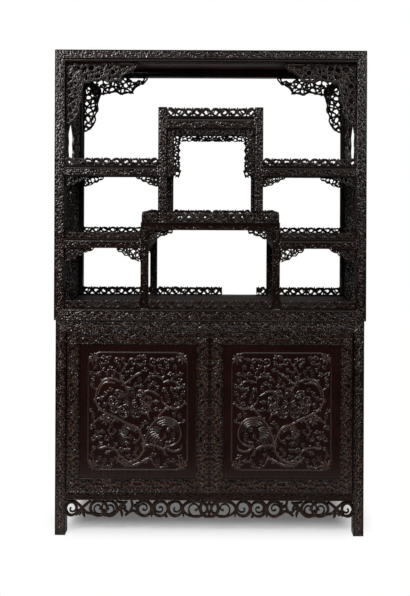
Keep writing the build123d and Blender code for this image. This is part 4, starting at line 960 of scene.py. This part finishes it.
def fence(length, height):
    """Uneven ovals in a net of stems on a thin foot strip, with flat gaps between them and a wavy top."""
    rng = np.random.default_rng(1)
    w, end = 0.066 * height + 0.7, length / 2
    count = max(1, round(end / FENCE_PITCH))
    step = end / count
    strokes = [line((0, 1.6, 1.8), (end, 1.6, 1.8)),
               line((end - 1.4, 0, 1.8), (end - 1.4, 0.72 * height, 1.8))]
    for k in range(count):
        x = (k + 0.5 + rng.uniform(-0.08, 0.08)) * step
        rx, ry = rng.uniform(0.30, 0.42) * step, rng.uniform(0.29, 0.36) * height
        y, turn = 0.16 * height + ry, rng.choice((-1, 1))
        strokes += [oval(x, y, rx, ry, 1.05 * w, rng.uniform(0, TAU)),
                    leaf(x - 0.7 * rx, y + 0.8 * ry, x + 0.6 * rx, min(0.97 * height, y + 1.35 * ry),
                         2 * turn, 1.5 * w)]
        if rng.random() < 0.5:
            strokes.append(curl(x, y, 0.95 * rx, rng.uniform(0, TAU), turn * 4.0, 0.9 * w, inner=0.35))
        else:
            strokes.append(leaf(x - turn * rx, y - 0.7 * ry, x + turn * 0.3 * rx, y + 0.5 * ry, 3, 1.2 * w))
    for k in range(count + 1):
        x = (k + (rng.uniform(-0.07, 0.07) if 0 < k < count else 0)) * step
        dip = rng.uniform(0.40, 0.52) * height
        strokes += [line((x - 0.30 * step, 0.30 * height, w), (x, dip, 1.3 * w),
                         (x + 0.30 * step, 0.30 * height, w)),
                    line((x - 0.28 * step, 0.86 * height, w), (x, dip + 0.12 * height, 1.2 * w),
                         (x + 0.28 * step, 0.84 * height, w)),
                    leaf(x, dip, x + rng.uniform(-3, 3), 0.97 * height, 0, 1.6 * w)]
        if k % 2 == 0:
            strokes.append(line((x, dip, w), (x, 0.1 * height, 0.9 * w)))
    return both_ways(strokes, end)


def fence_between(low, high, shelf, kept=None):
    """A fence along X on one shelf's front edge, or the stretch of it that is kept."""
    height, middle = GALLERY_HEIGHT[shelf], (low + high) / 2
    u = tuple(end - middle for end in kept or (low, high))
    part = pierced(fence(high - low, height), u, (0, height), GALLERY_THICKNESS)
    return facing_front(part, GALLERY_Y, x=middle, z=GALLERY_FOOT[shelf])


def fence_return(half_length, shelf, x):
    """A fence that runs front to back along a shelf's right end."""
    height = GALLERY_HEIGHT[shelf]
    part = pierced(fence(2 * half_length, height), (-half_length, half_length), (0, height),
                   GALLERY_THICKNESS)
    return facing_right(part, x, z=GALLERY_FOOT[shelf])


def front_and_back(*parts):
    """Parts at the front, and their mirror images at the back."""
    return [each for part in parts for each in (part, mirrored(part, axis=1))]


def all_four(*parts):
    """Parts in the front right quarter, and their mirror images in the other three."""
    return left_and_right(*front_and_back(*parts))


side_base = fence_between(CENTRE_OUTER, POST_INNER_X, "base")
centre_base = fence_between(-CENTRE_INNER, CENTRE_INNER, "base")
left_rest, right_rest = (fence_between(-CENTRE_INNER, CENTRE_INNER, "base", kept)
                         for kept in ((-CENTRE_INNER, LOST_STRETCH[0]), (LOST_STRETCH[1], CENTRE_INNER)))
piece("base_gallery_pierced",
      [*all_four(side_base), centre_base, mirrored(left_rest, 1), mirrored(right_rest, 1)], carved_across)
for name, inner in (("lower", CENTRE_OUTER), ("upper", RAISED_OUTER)):
    piece(f"{name}_shelf_gallery_pierced", all_four(fence_between(inner, POST_INNER_X, name)), carved_across)

MIDDLE_RETURN_X, RAISED_RETURN_X = (272.0, 281.0), (202.0, 211.0)
middle = fence_between(-RAISED_INNER, RAISED_INNER, "middle")
middle_end = fence_between(RAISED_OUTER, MIDDLE_RETURN_X[1], "middle")
middle_return = fence_return(-GALLERY_Y[1], "middle", MIDDLE_RETURN_X)
piece("middle_shelf_gallery_pierced",
      [*front_and_back(middle), *all_four(middle_end), *left_and_right(middle_return)], carved_across)
raised = fence_between(-RAISED_INNER, RAISED_INNER, "raised")
raised_return = fence_return(raised_end, "raised", RAISED_RETURN_X)
piece("raised_shelf_gallery_pierced", [*front_and_back(raised), *left_and_right(raised_return)],
      carved_across)

# ---- brackets, friezes and strips -------------------------------------------------------------------
# Pierced spandrels fill the corners under the shelves, large ones hang in the stand's top corners, an
# arched frieze runs under the raised shelf, and strips run front to back between the centre posts. All
# are sawn from thin board and carved on both faces.
BRACKET_Y, CORNER_Y = (-183.0, -173.0), (-177.0, -165.0)
BRACKET_THICKNESS, CORNER_THICKNESS = (y[1] - y[0] for y in (BRACKET_Y, CORNER_Y))


def small_bracket(length, drop):
    """A spandrel with its corner at the origin, running out along u and down."""
    edge = ((0.98, 0.08), (0.90, 0.26), (0.76, 0.30), (0.66, 0.52), (0.50, 0.54), (0.38, 0.78), (0.24, 0.82),
            (0.08, 0.95))
    strokes = [line((0, -1.4, 1.7), (0.98 * length, -1.4, 1.5)),
               line((1.4, 0, 1.7), (1.4, -0.97 * drop, 1.5)),
               line(*[(a * length, -b * drop, 2.5) for a, b in edge])]

    def within(x, y):
        return 0 < x < length and 0 > y > -drop * float(np.interp(x / length, *zip(*edge[::-1]))) + 1

    strokes += tangle((0, length), (-drop, 0), within, 16.5, 3.0, 3)
    return pierced(strokes, (0, length), (-drop, 0), BRACKET_THICKNESS)


for name, inner, top, size in (("lower", CENTRE_OUTER, LOWER_Z[0], (100.0, 57.0)),
                               ("upper", RAISED_OUTER, UPPER_Z[0], (94.0, 46.0))):
    plate = small_bracket(*size)
    at_inner_post = facing_front(plate, BRACKET_Y, x=inner, z=top)
    at_outer_post = facing_front(mirrored(plate), BRACKET_Y, x=POST_INNER_X, z=top)
    piece(f"{name}_shelf_brackets_pierced", all_four(at_inner_post, at_outer_post), carved_across)
middle = facing_front(mirrored(small_bracket(101.0, 42.0)), BRACKET_Y, x=CENTRE_INNER, z=MIDDLE_Z[0])
piece("middle_shelf_brackets_pierced", all_four(middle), carved_across)


def large_bracket(length, drop, limb):
    """Leafwork on two limbs with a lobed edge, which runs together into a solid heart at the corner."""
    across = ((0, 1.06), (0.16, 0.98), (0.34, 0.88), (0.44, 1.04), (0.60, 0.94), (0.66, 0.98), (0.74, 0.62),
              (0.84, 0.42), (0.90, 0.44), (1.0, 0.08))
    downward = ((0, 1.06), (0.14, 0.94), (0.30, 0.84), (0.42, 0.90), (0.56, 0.70), (0.70, 0.74), (0.82, 0.56),
                (0.92, 0.34), (1.0, 0.10))
    heart = [line((14, -14, 13), (0.80 * limb, -0.80 * limb, 19)),
             line((10, -0.55 * limb, 9), (0.55 * limb, -10, 9))]

    def depth(run, end, profile):
        """How wide a limb is at a distance from the corner."""
        return limb * float(np.interp((run - 0.94 * limb) / (end - 0.94 * limb), *zip(*profile)))

    def within(x, y):
        return (0 < x < length and 0 < -y < depth(x, length, across) - 1
                or 0 < -y < drop and 0 < x < depth(-y, drop, downward) - 1)

    out, down = np.linspace(0.9 * limb, 0.99 * length, 22), np.linspace(0.9 * limb, 0.99 * drop, 18)
    strokes = [line((0, -2, 2.6), (length, -2, 2.2)), line((2, 0, 2.6), (2, -drop, 2.2)),
               line(*[(x, -depth(x, length, across) + 3, 3.2) for x in out]),
               line(*[(depth(y, drop, downward) - 3, -y, 3.2) for y in down])]
    for a, b, c, d, bend, width in ((0.55, 0.55, 1.03, 1.03, 0, 4.5), (0.60, 0.66, 0.78, 1.06, -3, 3.6),
                                    (0.66, 0.60, 1.06, 0.78, 3, 3.6), (0.10, 0.52, 0.24, 0.92, 3, 3.4),
                                    (0.52, 0.10, 0.92, 0.24, -3, 3.4)):
        strokes.append(leaf(a * limb, -b * limb, c * limb, -d * limb, bend, width))
    strokes += tangle((0, length), (-drop, 0), within, 22, 4.1, 6)
    return pierced(strokes, (0, length), (-drop, 0), CORNER_THICKNESS, heart)


corner = facing_front(mirrored(large_bracket(297.0, 254.0, 78.0)), CORNER_Y, x=POST_INNER_X, z=TOP_Z[0])
piece("front_corner_brackets_pierced", left_and_right(corner), carved_across)
piece("back_corner_brackets_pierced", left_and_right(mirrored(corner, axis=1)), carved_across)


def arch(half, drop, leg, fall):
    """A shallow, nearly closed band of scrolls with a lobed pierced leg down each post."""
    inner, band = half - leg, 0.86 * drop

    def leg_edge(y):
        lobes = 0.84 + 0.12 * math.cos(0.058 * y * math.pi)
        return half - leg * lobes * min(1, 0.4 + 1.6 * (fall - y) / leg) + 2

    def in_band(x, y):
        return 0 <= x <= inner and -band < y < 0

    def in_leg(x, y):
        return 0 <= x < half and (-band < y < 0 or (x > inner + 5 and y > -fall + 8))

    strokes = [line((0, -1.2, 1.6), (half, -1.2, 1.6)), line((half - 1.2, 0, 1.6), (half - 1.2, -fall, 1.6)),
               line(*[(x, -band + 2.2 * math.cos(9.5 * x / inner * math.pi), 2.4)
                      for x in np.linspace(0, inner, 30)]),
               line(*[(leg_edge(y), -y, 2.8) for y in np.linspace(0.8 * drop, fall - 3, 26)])]
    strokes += tangle((0, inner), (-drop, 0), in_band, 12, 3.1, 5)
    strokes += tangle((inner, half), (-fall, 0), in_leg, 19, 3.8, 12)
    return pierced(both_ways(strokes, half), (-half, half), (-fall, 0), BRACKET_THICKNESS)


frieze = facing_front(arch(RAISED_INNER, 28.0, 33.0, 195.0), BRACKET_Y, z=RAISED_Z[0])
piece("front_arch_frieze_pierced", [frieze], carved_across)
piece("back_arch_frieze_pierced", [mirrored(frieze, axis=1)], carved_across)

INNER_APRON_FOOT = 1141.0
inner_end = RAIL_FACE - (CENTRE_OUTER - CENTRE_INNER)
strips = []
for low, high in ((LOWER_Z[1], MIDDLE_Z[0]), (INNER_APRON_FOOT, LOWER_Z[0])):
    top = high - low - 1.6
    strokes = [*fence(2 * inner_end, high - low), line((-inner_end, top, 1.8), (inner_end, top, 1.8))]
    strip = pierced(strokes, (-inner_end, inner_end), (0, high - low), GALLERY_THICKNESS)
    strips.append(facing_right(strip, MIDDLE_RETURN_X, z=low))
piece("inner_strips_pierced", left_and_right(*strips), carved_depthwise)

# ---- side panels of the stand -----------------------------------------------------------------------
# The lower and middle side bays are closed by pierced lattices in a rim, tongued into posts and rails.
# The top bay holds pierced leafwork round a tall window with lobed sides and a pointed head.
FRET_X = (610.0, 622.0)
FRET_THICKNESS = FRET_X[1] - FRET_X[0]
FRET_CELL = 1.6 * PIERCED_CELL
RIM = 14.0


def lattice(half, height):
    """Crossing diagonal bars in a rim, with a rosette on every crossing."""
    strokes = [line((-half, e, 7.5), (half, e, 7.5)) for e in (4, height - 4)]
    strokes += [line((e, 0, 7.5), (e, height, 7.5)) for e in (-half + 4, half - 4)]
    columns, inner_h = 3, height - 2 * RIM
    rows = max(2, round(inner_h * columns / (2 * half - 2 * RIM)))
    cell_u, cell_v = (2 * half - 2 * RIM) / columns, inner_h / rows
    for i in range(columns):
        for j in range(rows):
            u, v = -half + RIM + (i + 0.5) * cell_u, RIM + (j + 0.5) * cell_v
            for su, sv in ((-1, -1), (-1, 1), (1, -1), (1, 1)):
                strokes += [line((u + su * 0.5 * cell_u, v, 4.2),
                                 (u + su * 0.22 * cell_u, v + sv * 0.22 * cell_v, 3.2),
                                 (u, v + sv * 0.5 * cell_v, 4.2)),
                            curl(u + su * 0.20 * cell_u, v + sv * 0.20 * cell_v, 0.13 * cell_u,
                                 math.atan2(sv, su), 5.0 * su * sv, 2.6)]
    for i in range(columns + 1):
        for j in range(rows + 1):
            u, v = -half + RIM + i * cell_u, RIM + j * cell_v
            strokes += fan_of(u, v, 0.4, 4.7, 4, 2, 13, 4.0)
            strokes += fan_of(u + 0.5 * cell_u, v, 0, 4.7, 4, 2, 9, 3.2)

    def within(x, y):
        return abs(x) < half and 0 < y < height

    return strokes + tangle((-half, half), (0, height), within, 27, 3.0, 2)


def window_surround(half, height, width=104.0, spring=145.0, crown=200.0):
    """Leafwork that leaves a tall opening with lobed sides and a pointed head."""
    def edge(y):
        lobes = half - width + 5 + 3.5 * math.sin(y / spring * 5 * math.pi)
        if y < spring:
            return lobes
        return lobes * (1 - ((y - spring) / (crown - spring)) ** 1.4) if y < crown else 0

    def within(x, y):
        return 0 <= x < half and 0 < y < height and (y > crown + 3 or x > edge(y) + 4)

    strokes = [line((0, height - 2, 2.6), (half, height - 2, 2.6)),
               line((half - 2, 0, 2.6), (half - 2, height, 2.6)),
               line(*[(edge(y) + 1, y, 3.4) for y in np.linspace(0, crown - 1, 30)])]
    return both_ways(strokes + tangle((0, half), (0, height), within, 24, 3.2, 4), half)


def side_plate(pattern, low, high):
    """A side panel between the posts, from one rail to the next."""
    plate = pierced(pattern(POST_INNER_Y, high - low), (-POST_INNER_Y, POST_INNER_Y), (0, high - low),
                    FRET_THICKNESS, cell=FRET_CELL)
    return facing_right(plate, FRET_X, z=low)


frets = [side_plate(lattice, *z) for z in ((BASE_Z[1], LOWER_Z[0]), (LOWER_Z[1], UPPER_Z[0]))]
piece("side_frets_pierced", left_and_right(*frets), carved_depthwise)
window = side_plate(window_surround, UPPER_Z[1], TOP_Z[0])
piece("side_windows_pierced", left_and_right(window), carved_upright, node="side_border_strips")

# ---- floor, light and view --------------------------------------------------------------------------
# A pale floor fades into a white surround. Three soft lamps light the cabinet, black cloths round the
# studio keep the surround out of its polished faces, and the camera stands at eye height.
WHITE = (1, 1, 1, 1)
ROOM, CLOTH_TOP, PAPER_FRONT = 5.0, 4.0, -0.7


def shown(tree, share, first, second, output):
    """Mixes two shaders by a share and gives them to the material's or the world's output."""
    blend = coat(tree, "MixShader", {"Fac": share, 1: first.outputs[0], 2: second.outputs[0]})
    tree.links.new(blend.outputs[0], tree.nodes[output].inputs["Surface"])


def studio_surface(name, points, faces, finish, base, roughness=0.5, gloss=0.5):
    """A surface of the studio, and the node tree and the shader of its finish."""
    mesh = bpy.data.meshes.new(name)
    mesh.from_pydata(points, [], faces)
    placed(name, mesh)
    material = bpy.data.materials.new(finish)
    material.use_nodes = True
    mesh.materials.append(material)
    shader = material.node_tree.nodes["Principled BSDF"]
    shader.inputs["Base Color"].default_value = base
    shader.inputs["Roughness"].default_value = roughness
    shader.inputs["Specular IOR Level"].default_value = gloss
    return material.node_tree, shader


# the floor shows its shading near the cabinet, and glows white to the camera past it; a faint glow to the
# camera there too paints light into the shadow under the cabinet
tree, paper = studio_surface("floor", [(-4, PAPER_FRONT, 0), (4, PAPER_FRONT, 0), (4, 4, 0), (-4, 4, 0)],
                             [(0, 1, 2, 3)], "pale_floor", (0.66, 0.66, 0.67, 1), 0.9, 0.0)
where = coat(tree, "TexCoord", {}).outputs["Object"]
for operation, value in (("SUBTRACT", (0, 0.13, 0)), ("ABSOLUTE", (0, 0, 0)), ("SUBTRACT", (0.52, 0.17, 0)),
                         ("MAXIMUM", (0, 0, 0))):
    where = coat(tree, "VectorMath", {0: where, 1: value}, operation=operation).outputs["Vector"]
beyond = coat(tree, "VectorMath", {0: where}, operation="LENGTH").outputs["Value"]
fade = coat(tree, "MapRange", {"Value": beyond, "From Max": 0.20, "To Min": 0.12},
            interpolation_type="SMOOTHSTEP").outputs["Result"]
sight = coat(tree, "LightPath", {}).outputs
seen = coat(tree, "Math", {0: fade, 1: sight["Is Camera Ray"]}, operation="MULTIPLY").outputs[0]
glow = coat(tree, "Emission", {"Color": WHITE, "Strength": 1.0})
shown(tree, seen, paper, glow, "Material Output")

# the cloths stand round the room and before the paper, and only reflections show them
corners = [(-ROOM, -ROOM), (ROOM, -ROOM), (ROOM, ROOM), (-ROOM, ROOM)]
tree, cloth = studio_surface("black_cloths", [(x, y, z) for z in (0, CLOTH_TOP) for x, y in corners]
                             + [(-ROOM, PAPER_FRONT, 0), (ROOM, PAPER_FRONT, 0)],
                             [*[(k, 4 + k, 4 + (k + 1) % 4, (k + 1) % 4) for k in range(4)], (0, 1, 9, 8)],
                             "black_cloth", (0.01, 0.01, 0.01, 1))
sight = coat(tree, "LightPath", {}).outputs
shown(tree, sight["Is Glossy Ray"], coat(tree, "BsdfTransparent", {}), cloth, "Material Output")

world = bpy.data.worlds.new("white_surround")
bpy.context.scene.world = world
world.use_nodes = True
tree = world.node_tree
dim = tree.nodes["Background"]
dim.inputs["Color"].default_value = WHITE
dim.inputs["Strength"].default_value = 0.45
white = coat(tree, "Background", {"Color": WHITE, "Strength": 1.0})
sight = coat(tree, "LightPath", {}).outputs
seen = coat(tree, "Math", {0: sight["Is Camera Ray"], 1: sight["Is Transmission Ray"]}, operation="MAXIMUM")
seen = coat(tree, "Math", {0: seen.outputs[0], 1: sight["Is Glossy Ray"]}, operation="MAXIMUM")
shown(tree, seen.outputs[0], dim, white, "World Output")


def lamp(name, place, target, size, watts):
    """A square soft lamp aimed at a point."""
    data = bpy.data.lights.new(name, "AREA")
    data.shape, data.size, data.energy = "SQUARE", size, watts
    made = placed(name, data)
    made.location = place
    aim = np.array(target) - np.array(place)
    made.rotation_euler = (math.atan2(math.hypot(aim[0], aim[1]), -aim[2]), 0, math.atan2(-aim[0], aim[1]))


lamp("soft_left", (-1.9, -2.1, 3.3), (0, 0, 1.1), 1.0, 78)
lamp("near_left", (-1.55, -1.35, 1.8), (-0.6, -0.15, 1.3), 0.5, 12)
lamp("soft_right", (2.4, -2.8, 2.4), (0, 0, 1.0), 0.9, 23)

view = bpy.data.cameras.new("camera")
view.lens, view.sensor_width = 39.14, 36.0
view.shift_x, view.shift_y = -0.0299, -0.181
camera = placed("camera", view)
camera.location = (0.05, -2.830, 1.410)
camera.rotation_euler = (math.radians(90), math.radians(-0.25), 0)
bpy.context.scene.camera = camera
bpy.context.scene.view_settings.view_transform = "Standard"
